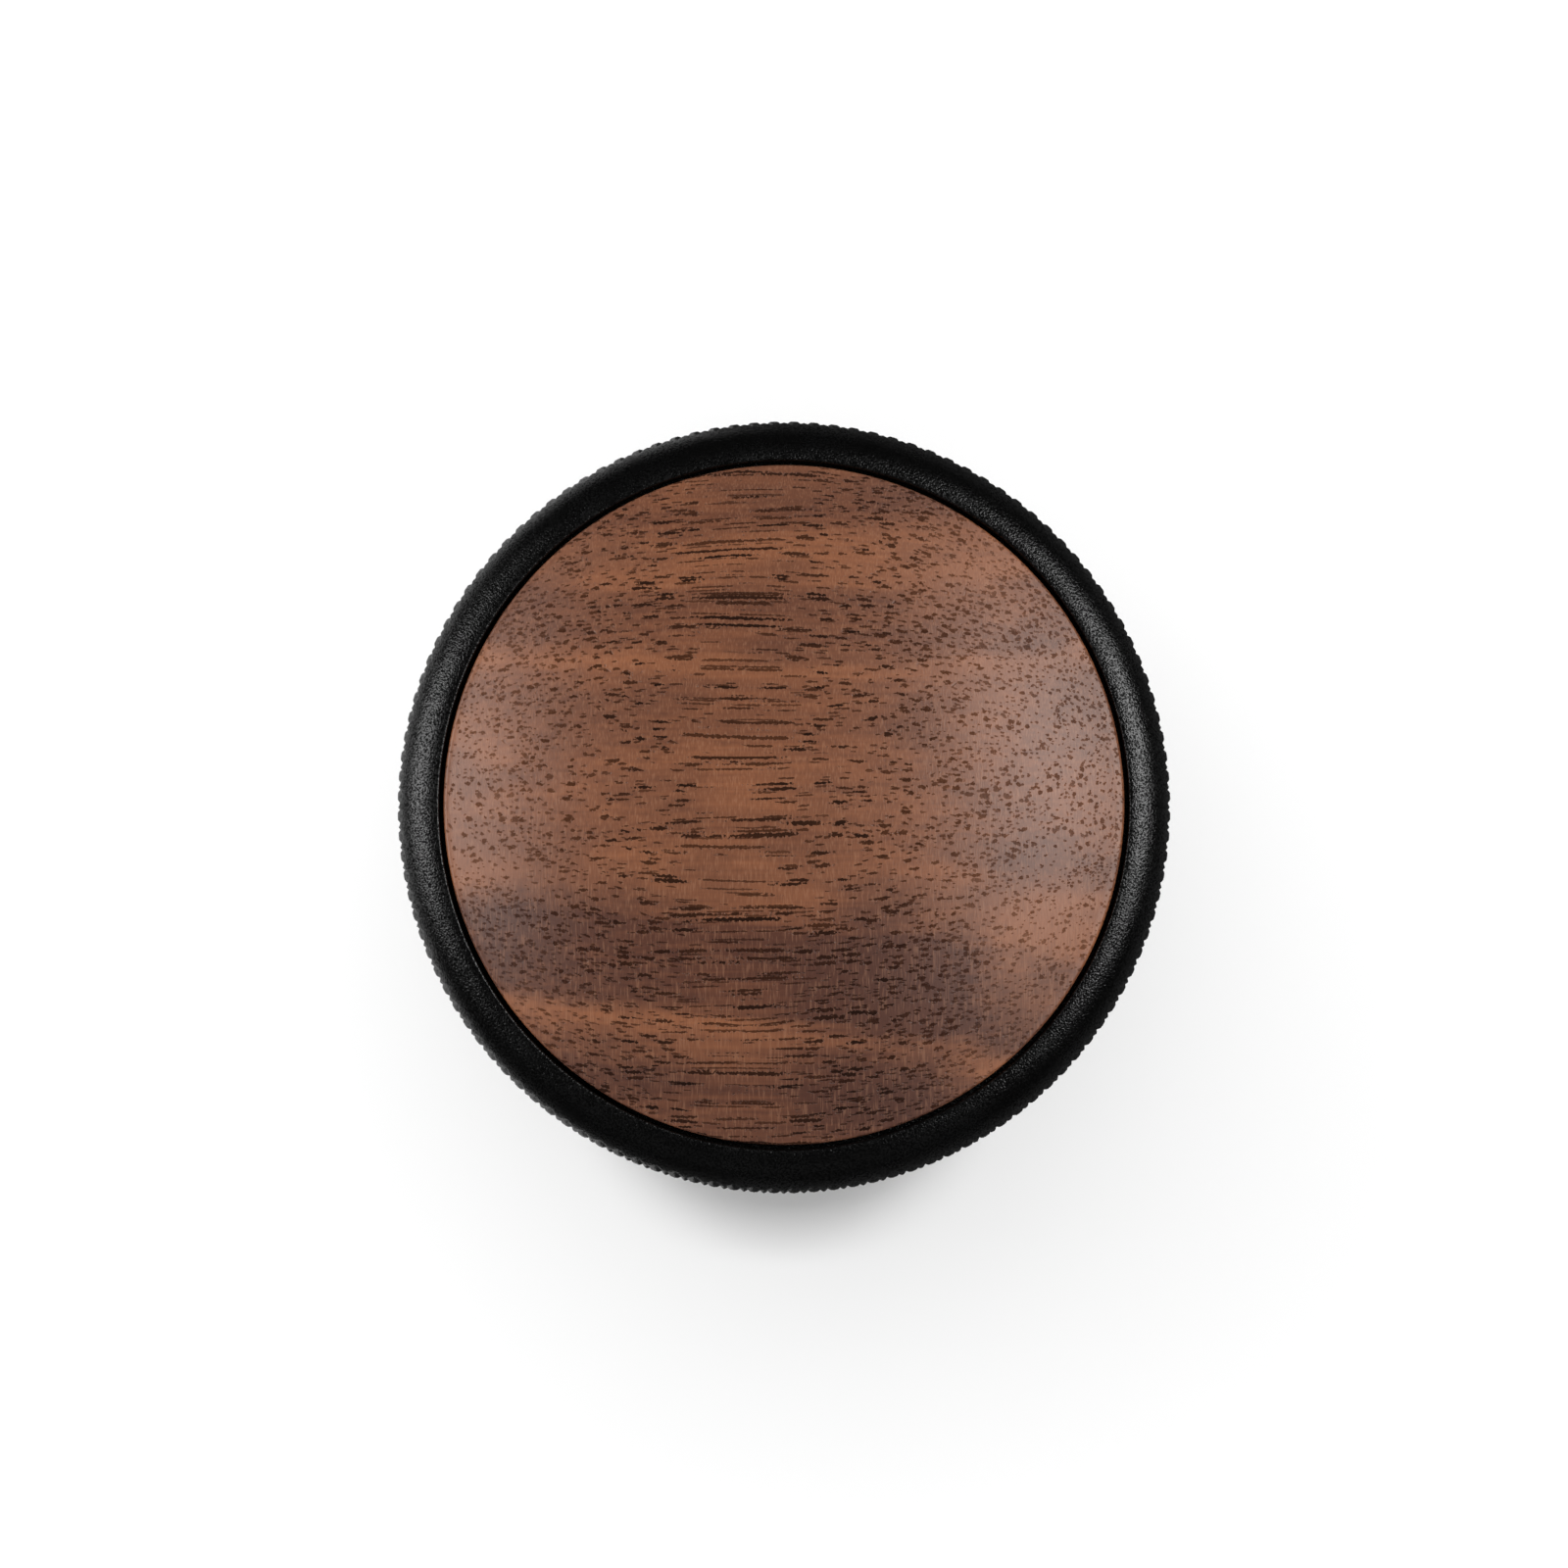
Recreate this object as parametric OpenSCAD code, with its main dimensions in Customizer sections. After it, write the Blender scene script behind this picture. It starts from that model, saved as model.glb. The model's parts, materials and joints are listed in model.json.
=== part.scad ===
// Spring-loaded, self-levelling palm tamper for 58 mm portafilter baskets.
// +Z is up and the origin is the middle of the tamping face. All sizes are in millimetres.
// The base, with the guide tube bolted to it, stands still. The handle slides down over it against
// the main spring, the levelling collar slides up round it against three small springs, and the
// knurled cap unscrews from the handle to free the main spring.

/* [Base] */
// Diameter of the tamping face, which has to enter the basket
base_d = 58.35; // [57.5:0.05:59]
// Thickness of the base
base_h = 9; // [8:0.5:12]
// Height of the full-diameter land
base_land_h = 5.5; // [4:0.5:6]
// Diameter of the base's top, above the relief
base_top_d = 53; // [50:0.5:56]
// Chamfer round the tamping face
base_edge = 0.4; // [0.2:0.1:0.8]

/* [Guide tube] */
// Wall of the guide tube
tube_wall = 3; // [2.5:0.1:3.3]
// Thickness of the guide tube's floor
tube_floor = 3; // [2.5:0.5:4]
// Depth of the spigot that centres the tube in the base
spigot_h = 1; // [0.8:0.1:1.5]
// Diameter of that spigot
spigot_d = 22; // [18:1:24]

/* [Travel] */
// How far the handle is pressed down
press_travel = 5; // [4:0.5:6]
// How far the levelling collar is lifted by the basket's rim
collar_travel = 8; // [6:0.5:9]

/* [Main spring] */
// Outside diameter of the main spring
spring_d = 24; // [22:0.5:24.5]
// Wire of the main spring
spring_wire = 2.8; // [2.2:0.1:3]
// Turns of the main spring, closed end turns included
spring_turns = 6; // [5:0.5:7]

/* [Plunger] */
// Wall of the plunger tube
plunger_wall = 2.5; // [2:0.1:2.8]
// Height of the shoulder that keeps the plunger in
shoulder_h = 2.4; // [2.2:0.1:3]
// Height of the wear ring in the shoulder
wear_ring_h = 1.2; // [0.8:0.1:1.4]
// Radial thickness of the wear ring
wear_ring_t = 1; // [0.8:0.1:1.2]
// Height of the bush that guides the plunger
bush_h = 4; // [3.6:0.2:6]
// Wall of that bush
bush_wall = 1.5; // [1.3:0.1:1.7]
// Thickness of the cushion that softens the handle's return
cushion_t = 0.8; // [0.6:0.1:1.2]

/* [Gland ring] */
// Thickness of the gland ring's flange
gland_t = 3; // [2.5:0.5:4]
// Depth of the gland ring's threaded spigot
gland_spigot_h = 2.4; // [2:0.2:3]
// Thickness of the bumper that the pressed handle meets
bumper_t = 1; // [0.8:0.1:1.5]
// Radial width of that bumper
bumper_w = 3.5; // [2.5:0.5:4]

/* [Levelling collar] */
// Outside diameter of the flange that rests on the basket's rim
collar_d = 64.4; // [63:0.2:65]
// Thickness of that flange
flange_t = 4; // [3:0.5:5]
// Wall of the bush inside the collar
collar_bush_wall = 1.2; // [1:0.1:1.3]
// Wall of the shroud round the springs
shroud_wall = 1.4; // [1.2:0.1:1.6]
// Depth of the groove that parts the rim seat from the base seat
seat_groove_h = 0.6; // [0.4:0.1:1]

/* [Collar screws and springs] */
// Number of shoulder screws, each with its own spring
screw_count = 3; // [3:1:6]
// Diameter of their shanks
shank_d = 3; // [2.6:0.1:3.2]
// Diameter of their heads
screw_head_d = 4.8; // [4.4:0.1:5]
// Height of their heads
screw_head_h = 1.8; // [1.5:0.1:2.2]
// Diameter of their threaded ends
screw_thread_d = 2.5; // [2:0.1:2.6]
// Outside diameter of the small springs
small_spring_d = 4.6; // [4.4:0.1:4.8]
// Wire of the small springs
small_wire = 0.4; // [0.35:0.05:0.5]
// Turns of the small springs
small_turns = 9; // [7:1:10]
// Depth of the pocket in which each small spring stands
pocket_h = 5.5; // [4.5:0.5:6]

/* [Crown] */
// Diameter of the crown's thread, on which the cap screws
crown_d = 48; // [46:0.5:48.5]
// Pitch of that thread, which is how far one turn lifts the cap
thread_pitch = 1; // [0.75:0.25:1.5]
// Turns from tight to where the cap comes off
thread_turns = 3; // [2.5:0.5:4]
// Plain height of the crown beside the thread that engages
crown_lead = 1; // [0.8:0.1:1.5]
// Thread of the grub screws that lock the crown on the plunger
lock_d = 2; // [1.6:0.1:2.2]
// Length of those grub screws
lock_length = 4; // [3:0.5:6]

/* [Cap] */
// Number of knurl teeth each way round the cap
knurl_count = 120; // [118:2:124]
// Normal pitch of the knurl
knurl_pitch = 1.5; // [1.48:0.01:1.55]
// Helix angle of the knurl, from the cap's axis
knurl_angle = 30; // [29:1:34]
// Depth of the knurl, from the wall to the root
knurl_depth = 0.65; // [0.5:0.05:0.75]
// How much of each diamond's point the wall cuts off, which leaves a small flat
knurl_flat = 0.05; // [0.03:0.01:0.1]
// How much shallower the knurl is where it runs out over the rounded rim
knurl_run_out = 0.2; // [0.1:0.05:0.3]
// Half diamonds from the bottom of the knurled band to the rim
knurl_rows = 6; // [4:1:6]
// Width of the relief groove in which the knurl ends
relief_w = 0.8; // [0.5:0.1:1.2]
// Rounding of the skirt's lower edge
skirt_round = 2.2; // [1:0.2:2.6]
// Height of the rim above the floor of the inlay's recess
rim_h = 2.4; // [2:0.1:3]
// Thickness of the plate under the inlay
plate_t = 2.8; // [2.4:0.1:4]
// Width of the rim's rounded land, from the recess to the wall
rim_w = 3.7; // [3.2:0.1:4]
// Chamfer on the rim's inner edge
rim_edge = 0.12; // [0.05:0.01:0.25]

/* [Inlay] */
// Open joint between the inlay and the rim
inlay_gap = 0.4; // [0.2:0.05:0.6]
// Height of the inlay's edge
inlay_edge_h = 2.4; // [2:0.1:3]
// Rise of the dome above the inlay's edge
dome_h = 5.8; // [3:0.2:7]
// Thickness of the adhesive disc
adhesive_t = 0.3; // [0.2:0.1:0.5]

/* [Small parts] */
// Thickness of the lower and upper spring seats
seat_t = 1; // [0.8:0.1:1.5]
// Height of the boss that centres the main spring on the upper seat
seat_boss_h = 3; // [2:0.5:4]
// Thickness of the thrust washer under the cap
thrust_t = 0.8; // [0.5:0.1:1]
// Diameter of the base bolt's thread
bolt_d = 6; // [5:0.5:6]
// Diameter of the base bolt's head
bolt_head_d = 10; // [9:0.5:10.5]
// Thickness of the washer under that head
bolt_washer_t = 1; // [0.8:0.1:1.6]
// Diameter of the hole through the upper seat and the thrust washer
seat_bore_d = 8; // [6:0.5:10]
// Thread of the guide screws
guide_d = 3; // [2.5:0.5:3]
// Diameter of the guide screws' dog points
dog_d = 2; // [1.6:0.1:2]
// Width of the slanting cut that lets the wear ring open
ring_split = 0.4; // [0.3:0.1:0.6]
// Width of the O-rings' grooves
o_ring_w = 2; // [1.6:0.1:2.4]
// Depth of the O-rings' grooves
o_ring_h = 1.2; // [1:0.1:1.4]

/* [Clearances] */
// Radial clearance of a running fit
run_gap = 0.05; // [0.03:0.01:0.08]
// Radial clearance round a spring
spring_gap = 1; // [0.8:0.1:1.2]
// Clearance between parts that pass each other
pass_gap = 0.5; // [0.4:0.1:0.6]
// Space left where two moving parts come closest
stop_gap = 0.2; // [0.1:0.1:0.4]

/* [Hidden] */
$fn = 96;

// Finishes
STEEL = "silver";
BRIGHT_STEEL = "gainsboro";
BLACK = "#17181a";
POLYMER = "ivory";
RUBBER = "#30302f";
WALNUT = "#75492f";
ADHESIVE = "#b9ab8e";

// A cut runs this far past the face that it opens
CUT = 1;
// Steps in an arc of a turned profile
ARC_STEPS = 10;
// Where the rim's arc stops, just short of level, so that the land meets its inner chamfer
RIM_ARC_END = 88;
// A closed end turn rises by this many wires, which keeps its coils just apart
CLOSED_TURN = 1.04;
// Share of the wire that is left under the centre line at a ground end
GROUND_TIP = 0.15;
// Share of the base's height at which its tapped hole ends
BOLT_HOLE_FLOOR = 1 / 3;
// Radial gap of the plunger's shoulder in the guide tube, in running gaps
SHOULDER_GAPS = 6;
// Share of the room beside and above the base's land that the round of its relief takes
RELIEF_SHARE = 0.8;
// Corner of an O-ring pressed into its groove, as a share of the groove's depth
O_RING_CORNER = 0.4;
// Bevel on the edge of the bolt's head, as a share of the head's diameter
HEAD_EDGE = 1 / 20;
// Hexagon socket of the bolt, across its corners, in diameters of its shank
SOCKET = 0.96;
// How much the upper seat's boss narrows towards its foot, as a share of its height
BOSS_TAPER = 1 / 3;
// Share of the dome's fall that goes with the fourth power, which makes its edge the steeper part
DOME_STEEPENING = 0.2;

// Radii, from the middle outwards
spring_r = (spring_d - spring_wire) / 2;
plunger_bore_r = spring_d / 2 + spring_gap;
plunger_r = plunger_bore_r + plunger_wall;
bush_bore_r = plunger_r + run_gap;
tube_bore_r = bush_bore_r + bush_wall;
shoulder_r = tube_bore_r - SHOULDER_GAPS * run_gap;
tube_r = tube_bore_r + tube_wall;
collar_bush_bore_r = tube_r + run_gap;
collar_bush_r = collar_bush_bore_r + collar_bush_wall;
small_pocket_r = small_spring_d / 2 + stop_gap;
screw_head_pocket_r = screw_head_d / 2 + stop_gap;
screw_circle_r = collar_bush_r + screw_head_pocket_r + pass_gap;
gland_r = screw_circle_r + small_pocket_r;
shroud_bore_r = gland_r + pass_gap;
shroud_r = shroud_bore_r + shroud_wall;
crown_r = crown_d / 2;
boss_bore_r = crown_r + run_gap;
boss_r = gland_r - stop_gap;
skirt_bore_r = shroud_r + 2 * pass_gap;
grip_r = knurl_count * knurl_pitch / cos(knurl_angle) / (2 * PI);
relief_r = grip_r - knurl_depth - stop_gap;
recess_r = grip_r - rim_w;
inlay_r = recess_r - inlay_gap;
base_r = base_d / 2;
base_o_ring_r = (spigot_d / 2 + tube_bore_r) / 2;
cap_o_ring_r = (plunger_r + crown_r) / 2;
seat_r = plunger_bore_r - stop_gap;
dog_tip_r = plunger_r - plunger_wall / 2;

// Heights, from the tamping face upwards
floor_z = base_h + tube_floor;
shoulder_z = floor_z + press_travel + pass_gap;
cushion_z = shoulder_z + shoulder_h;
bush_z = cushion_z + cushion_t;
gland_spigot_z = bush_z + bush_h;
gland_z = gland_spigot_z + gland_spigot_h;
bumper_z = gland_z + gland_t;
crown_z = bumper_z + bumper_t + press_travel;
plate_z = crown_z + thread_turns * thread_pitch + crown_lead;
recess_z = plate_z + plate_t;
rim_z = recess_z + rim_h;
inlay_z = recess_z + adhesive_t;
inlay_edge_z = inlay_z + inlay_edge_h;
collar_top_z = gland_z - collar_travel - stop_gap;
flange_z = base_h + flange_t;
skirt_z = flange_z + collar_travel + press_travel + pass_gap;
shroud_z = skirt_z + pass_gap;
ceiling_z = shroud_z + collar_travel + press_travel + pass_gap;
knurl_row_h = knurl_pitch / cos(knurl_angle) / tan(knurl_angle) / 2;
knurl_bottom_z = rim_z - rim_w + 2 * stop_gap - knurl_rows * knurl_row_h;
thrust_z = plate_z - thrust_t;
upper_seat_z = thrust_z - seat_t;
lower_seat_z = floor_z + seat_t;
ring_z = shoulder_z + (shoulder_h - wear_ring_h) / 2;
guide_screw_z = bush_z + bush_h / 2;
lock_z = (crown_z + plate_z - o_ring_h) / 2;
screw_head_z = base_h + pass_gap;
shank_z = screw_head_z + screw_head_h;
pocket_z = collar_top_z - pocket_h;

// ---------------------------------------------------------------- shapes that repeat

// A round tube or washer that stands from z0 to z1.
module tube(outer, inner, z0, z1) {
    translate([0, 0, z0])
        difference() {
            cylinder(r = outer, h = z1 - z0);
            translate([0, 0, -CUT]) cylinder(r = inner, h = z1 - z0 + 2 * CUT);
        }
}

// A round hole or disc that stands from z0 to z1.
module disc(r, z0, z1) {
    translate([0, 0, z0]) cylinder(r = r, h = z1 - z0);
}

// Copies round the axis, the first at angle start.
module around(count, radius, start = 0) {
    for (i = [0 : count - 1])
        rotate([0, 0, start + i * 360 / count]) translate([radius, 0, 0]) children();
}

// Points of a turned arc about [r, z], from angle a0 to angle a1.
function arc(r, z, radius, a0, a1) =
    [for (i = [0 : ARC_STEPS]) let (a = a0 + (a1 - a0) * i / ARC_STEPS)
        [r + radius * cos(a), z + radius * sin(a)]];

// An O-ring in its groove, pressed flat where it meets the groove and the cover.
module o_ring(radius, z0) {
    corner = o_ring_h * O_RING_CORNER;
    rotate_extrude()
        translate([radius - o_ring_w / 2, z0])
            polygon(concat(
                arc(corner, corner, corner, 270, 180),
                arc(corner, o_ring_h - corner, corner, 180, 90),
                arc(o_ring_w - corner, o_ring_h - corner, corner, 90, 0),
                arc(o_ring_w - corner, corner, corner, 0, -90)));
}

// A hole or shank along +X, from the axis outwards.
module radial(d, r0, r1, z) {
    translate([r0, 0, z]) rotate([0, 90, 0]) cylinder(d = d, h = r1 - r0);
}

// A grub screw along +X whose outer end has a hexagon socket.
module grub_screw(d, r0, r1, z) {
    socket_d = d / 2;
    difference() {
        radial(d, r0, r1, z);
        translate([r1 - socket_d, 0, z])
            rotate([0, 90, 0]) cylinder(d = socket_d, h = socket_d + CUT, $fn = 6);
    }
}

// Height of a spring's centre line after t turns: closed end turns and even turns between them.
function spring_height(t, turns, wire, length) =
    let (closed = CLOSED_TURN * wire, tip = GROUND_TIP * wire)
    let (open = (length - 2 * (tip + closed)) / (turns - 2))
    t < 1 ? tip + closed * t
    : t > turns - 1 ? length - tip - closed * (turns - t)
    : tip + closed + open * (t - 1);

// A compression spring with closed and ground ends, standing on z = 0. Each ring of the wire is a
// polygon whose first corner is its lowest, and the corners that would lie past an end are laid on
// its plane, which is what grinding does. Fans from a corner off that plane close the two ends.
module coil_spring(radius, wire, turns, length, steps, sides) {
    rings = round(turns * steps);
    points = [
        for (i = [0 : rings], k = [0 : sides - 1])
            let (
                a = 360 * turns * i / rings,
                b = 360 * k / sides - 90,
                r = radius + wire / 2 * cos(b),
                z = spring_height(turns * i / rings, turns, wire, length) + wire / 2 * sin(b)
            )
            [r * cos(a), r * sin(a), min(max(z, 0), length)]
    ];
    walls = [
        for (i = [0 : rings - 1], k = [0 : sides - 1])
            let (a = i * sides + k, b = i * sides + (k + 1) % sides)
            each [[a, b, a + sides], [b, b + sides, a + sides]]
    ];
    top = sides / 2;
    first_end = [for (k = [1 : sides - 2]) [top, (top + k + 1) % sides, (top + k) % sides]];
    last = rings * sides;
    last_end = [for (k = [1 : sides - 2]) [last, last + k, last + k + 1]];
    polyhedron(points, concat(walls, first_end, last_end), convexity = 10);
}

// ---------------------------------------------------------------- base

// Stainless puck with a full-diameter land, a concave relief above it and a tapped blind hole.
module tamp_base() {
    relief = min(base_h - base_land_h, base_r - base_top_d / 2) * RELIEF_SHARE;
    color(STEEL)
        difference() {
            rotate_extrude()
                polygon(concat(
                    [[0, 0], [base_r - base_edge, 0], [base_r, base_edge], [base_r, base_land_h]],
                    [[base_top_d / 2 + relief, base_land_h]],
                    arc(base_top_d / 2 + relief, base_land_h + relief, relief, 270, 180),
                    [[base_top_d / 2, base_h], [0, base_h]]));
            disc(spigot_d / 2, base_h - spigot_h, base_h + CUT);
            tube(base_o_ring_r + o_ring_w / 2, base_o_ring_r - o_ring_w / 2, base_h - o_ring_h, base_h + CUT);
            disc(bolt_d / 2, base_h * BOLT_HOLE_FLOOR, base_h);
        }
}

// Tube that guides the plunger inside and the collar outside, bolted to the base by its floor.
module guide_tube() {
    color(BLACK)
        difference() {
            union() {
                disc(tube_r, base_h, gland_z);
                disc(spigot_d / 2, base_h - spigot_h, base_h + CUT);
            }
            disc(tube_bore_r, floor_z, gland_z + CUT);
            disc(bolt_d / 2, base_h - spigot_h - CUT, floor_z + CUT);
            around(2, 0) radial(guide_d, tube_bore_r - CUT, tube_r + CUT, guide_screw_z);
        }
}

// Socket-head bolt that holds the guide tube on the base.
module base_bolt() {
    head_z = floor_z + bolt_washer_t;
    head_h = bolt_d;
    head_edge = bolt_head_d * HEAD_EDGE;
    socket_d = bolt_d * SOCKET;
    color(BRIGHT_STEEL)
        difference() {
            union() {
                disc(bolt_d / 2, base_h * BOLT_HOLE_FLOOR + CUT, head_z + CUT);
                disc(bolt_head_d / 2, head_z, head_z + head_h - head_edge);
                translate([0, 0, head_z + head_h - head_edge])
                    cylinder(r1 = bolt_head_d / 2, r2 = bolt_head_d / 2 - head_edge, h = head_edge);
            }
            translate([0, 0, head_z + head_h / 2]) cylinder(d = socket_d, h = head_h, $fn = 6);
        }
}

module bolt_washer() {
    color(BRIGHT_STEEL) tube(bolt_head_d / 2 + stop_gap, bolt_d / 2, floor_z, floor_z + bolt_washer_t);
}

module base_o_ring() {
    color(RUBBER) o_ring(base_o_ring_r, base_h - o_ring_h);
}

module lower_spring_seat() {
    color(STEEL) tube(seat_r, bolt_head_d / 2 + 2 * stop_gap, floor_z, lower_seat_z);
}

module main_spring() {
    color(BRIGHT_STEEL)
        translate([0, 0, lower_seat_z])
            coil_spring(spring_r, spring_wire, spring_turns, upper_seat_z - lower_seat_z, 28, 8);
}

// ---------------------------------------------------------------- gland

// Polymer bush between the guide tube and the plunger, with holes for the two guide screws.
module plunger_bush() {
    color(POLYMER)
        difference() {
            tube(tube_bore_r, bush_bore_r, bush_z, gland_spigot_z);
            around(2, 0) radial(dog_d, bush_bore_r - CUT, tube_bore_r + CUT, guide_screw_z);
        }
}

// Ring that screws into the guide tube, keeps the plunger in and carries the shoulder screws.
module gland_ring() {
    spanner_d = 2;
    color(BLACK)
        difference() {
            union() {
                disc(gland_r, gland_z, bumper_z);
                disc(tube_bore_r, gland_spigot_z, gland_z + CUT);
            }
            disc(plunger_r + stop_gap, gland_spigot_z - CUT, bumper_z + CUT);
            around(screw_count, screw_circle_r) disc(screw_thread_d / 2, gland_z - CUT, bumper_z + CUT);
            around(2, screw_circle_r, 90) disc(spanner_d / 2, bumper_z - spanner_d, bumper_z + CUT);
        }
}

module press_bumper() {
    inner = plunger_r + pass_gap;
    color(RUBBER) tube(inner + bumper_w, inner, bumper_z, bumper_z + bumper_t);
}

// Two screws through the tube's wall whose dog points run in the plunger's slots.
module guide_screws() {
    color(BRIGHT_STEEL)
        around(2, 0)
            union() {
                radial(dog_d, dog_tip_r, tube_bore_r + CUT / 2, guide_screw_z);
                grub_screw(guide_d, tube_bore_r, tube_r - stop_gap, guide_screw_z);
            }
}

// Screws that hang from the gland ring. The collar slides on their shanks and rests on their heads.
module shoulder_screws() {
    socket_d = screw_head_d / 2;
    color(BRIGHT_STEEL)
        around(screw_count, screw_circle_r)
            difference() {
                union() {
                    disc(screw_head_d / 2, screw_head_z, shank_z);
                    disc(shank_d / 2, shank_z, gland_z);
                    disc(screw_thread_d / 2, gland_z, bumper_z);
                }
                translate([0, 0, screw_head_z - CUT])
                    cylinder(d = socket_d, h = screw_head_h / 2 + CUT, $fn = 6);
            }
}

module collar_springs() {
    mean_r = (small_spring_d - small_wire) / 2;
    color(BRIGHT_STEEL)
        around(screw_count, screw_circle_r)
            translate([0, 0, pocket_z])
                coil_spring(mean_r, small_wire, small_turns, gland_z - pocket_z, 12, 6);
}

// ---------------------------------------------------------------- collar

// Flange that rests on the basket's rim, with a thick hub for the bush, screws and springs, and a
// thin shroud that hides the springs and runs up inside the cap.
module levelling_collar() {
    edge = 0.5;
    seat_r0 = base_r + stop_gap;
    color(BLACK)
        difference() {
            rotate_extrude()
                polygon(concat(
                    [[collar_bush_r, base_h], [collar_d / 2 - edge, base_h], [collar_d / 2, base_h + edge]],
                    arc(collar_d / 2 - edge, flange_z - edge, edge, 0, 90),
                    arc(shroud_r + edge, flange_z + edge, edge, 270, 180),
                    [[shroud_r, shroud_z - edge], [shroud_r - edge, shroud_z], [shroud_bore_r, shroud_z]],
                    [[shroud_bore_r, collar_top_z], [collar_bush_r, collar_top_z]]));
            tube(seat_r0, seat_r0 - 2 * edge, base_h - CUT, base_h + seat_groove_h);
            around(screw_count, screw_circle_r) {
                disc(screw_head_pocket_r, base_h - CUT, shank_z);
                disc(shank_d / 2 + run_gap, base_h, gland_z);
                disc(small_pocket_r, pocket_z, gland_z);
            }
        }
}

// Polymer bush that runs on the guide tube.
module collar_bush() {
    color(POLYMER) tube(collar_bush_r, collar_bush_bore_r, base_h, collar_top_z);
}

// ---------------------------------------------------------------- handle

// Steel tube with a shoulder at its foot, a groove for the wear ring and two milled slots, with round
// ends, that stop it turning.
module plunger() {
    slot_r = dog_tip_r - stop_gap;
    slot_w = dog_d + 2 * run_gap;
    slot_top = guide_screw_z + press_travel;
    color(STEEL)
        difference() {
            union() {
                disc(plunger_r, shoulder_z, plate_z - stop_gap);
                disc(shoulder_r, shoulder_z, cushion_z);
            }
            disc(plunger_bore_r, shoulder_z - CUT, plate_z + CUT);
            tube(shoulder_r + CUT, tube_bore_r - run_gap - wear_ring_t, ring_z, ring_z + wear_ring_h);
            around(2, 0) {
                radial(slot_w, slot_r, plunger_r + CUT, guide_screw_z);
                radial(slot_w, slot_r, plunger_r + CUT, slot_top);
                translate([slot_r, -slot_w / 2, guide_screw_z]) cube([plunger_wall, slot_w, press_travel]);
            }
        }
}

// Split polymer ring in the shoulder's groove.
module wear_ring() {
    outer = tube_bore_r - run_gap;
    color(POLYMER)
        difference() {
            tube(outer, outer - wear_ring_t, ring_z, ring_z + wear_ring_h);
            translate([outer, 0, ring_z + wear_ring_h / 2])
                rotate([45, 0, 0]) cube([4 * wear_ring_t, ring_split, 4 * wear_ring_h], center = true);
        }
}

module return_cushion() {
    color(RUBBER) tube(shoulder_r, plunger_r, cushion_z, bush_z);
}

// Threaded disc locked on the plunger's top. The cap screws on its outside.
module crown() {
    edge = 0.4;
    color(BLACK)
        difference() {
            rotate_extrude()
                polygon([
                    [plunger_r, crown_z], [crown_r - edge, crown_z], [crown_r, crown_z + edge],
                    [crown_r, plate_z - edge], [crown_r - edge, plate_z], [plunger_r, plate_z],
                ]);
            tube(cap_o_ring_r + o_ring_w / 2, cap_o_ring_r - o_ring_w / 2, plate_z - o_ring_h, plate_z + CUT);
            around(2, 0, 90) radial(lock_d, plunger_r - CUT, crown_r + CUT, lock_z);
        }
}

module lock_screws() {
    color(BRIGHT_STEEL) around(2, 0, 90) grub_screw(lock_d, plunger_r, plunger_r + lock_length, lock_z);
}

module cap_o_ring() {
    color(RUBBER) o_ring(cap_o_ring_r, plate_z - o_ring_h);
}

// ---------------------------------------------------------------- cap

// Steel seat that rides up with the cap and centres the main spring.
module upper_spring_seat() {
    boss_top_r = spring_r - spring_wire / 2 - stop_gap;
    color(STEEL)
        difference() {
            union() {
                disc(seat_r, upper_seat_z, thrust_z);
                translate([0, 0, upper_seat_z - seat_boss_h])
                    cylinder(r1 = boss_top_r - seat_boss_h * BOSS_TAPER, r2 = boss_top_r, h = seat_boss_h);
            }
            disc(seat_bore_d / 2, upper_seat_z - seat_boss_h - CUT, thrust_z + CUT);
        }
}

module thrust_washer() {
    color(POLYMER) tube(seat_r, seat_bore_d / 2, thrust_z, plate_z);
}

// The knurl is a grid of corners: corner m round the cap, every half tooth, and line n up the band,
// every half diamond. Corners are by turns the tip of a pyramid and the crossing of two grooves.
function is_tip(m, n) = (m + n) % 2 != 0;

// Radius at a corner. From the top line of the band upwards the knurl runs out.
function knurl_r(m, n) =
    let (tip_r = grip_r + knurl_flat, root_r = grip_r - knurl_depth)
    (is_tip(m, n) ? tip_r : root_r) + (n < knurl_rows ? 0 : knurl_run_out);

// What the knurling tool takes away: a ring whose inner face is two families of helical V grooves, one
// line longer than the band at its top. Each cell of the grid is parted along its groove, between the
// two root corners.
module knurl_cutter() {
    corners = 2 * knurl_count;
    last = knurl_rows + 1;
    outside_r = grip_r + CUT;
    outside_start = (last + 1) * corners;
    function knurl(m, n) = n * corners + m % corners;
    function outside(m, side) = outside_start + side * corners + m % corners;
    function spot(r, m, n) = [r * cos(360 * m / corners), r * sin(360 * m / corners), n * knurl_row_h];
    points = concat(
        [for (n = [0 : last], m = [0 : corners - 1]) spot(knurl_r(m, n), m, n)],
        [for (n = [0, last], m = [0 : corners - 1]) spot(outside_r, m, n)]
    );
    cells = [
        for (n = [0 : last - 1], m = [0 : corners - 1])
            let (a = knurl(m, n), b = knurl(m + 1, n), c = knurl(m + 1, n + 1), d = knurl(m, n + 1))
            each (is_tip(m, n) ? [[a, b, d], [d, b, c]] : [[a, c, d], [a, b, c]])
    ];
    rest = [
        for (m = [0 : corners - 1])
            each [
                [knurl(m, 0), outside(m, 0), outside(m + 1, 0), knurl(m + 1, 0)],
                [knurl(m, last), knurl(m + 1, last), outside(m + 1, 1), outside(m, 1)],
                [outside(m, 0), outside(m, 1), outside(m + 1, 1), outside(m + 1, 0)],
            ]
    ];
    polyhedron(points, concat(cells, rest), convexity = 10);
}

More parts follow.
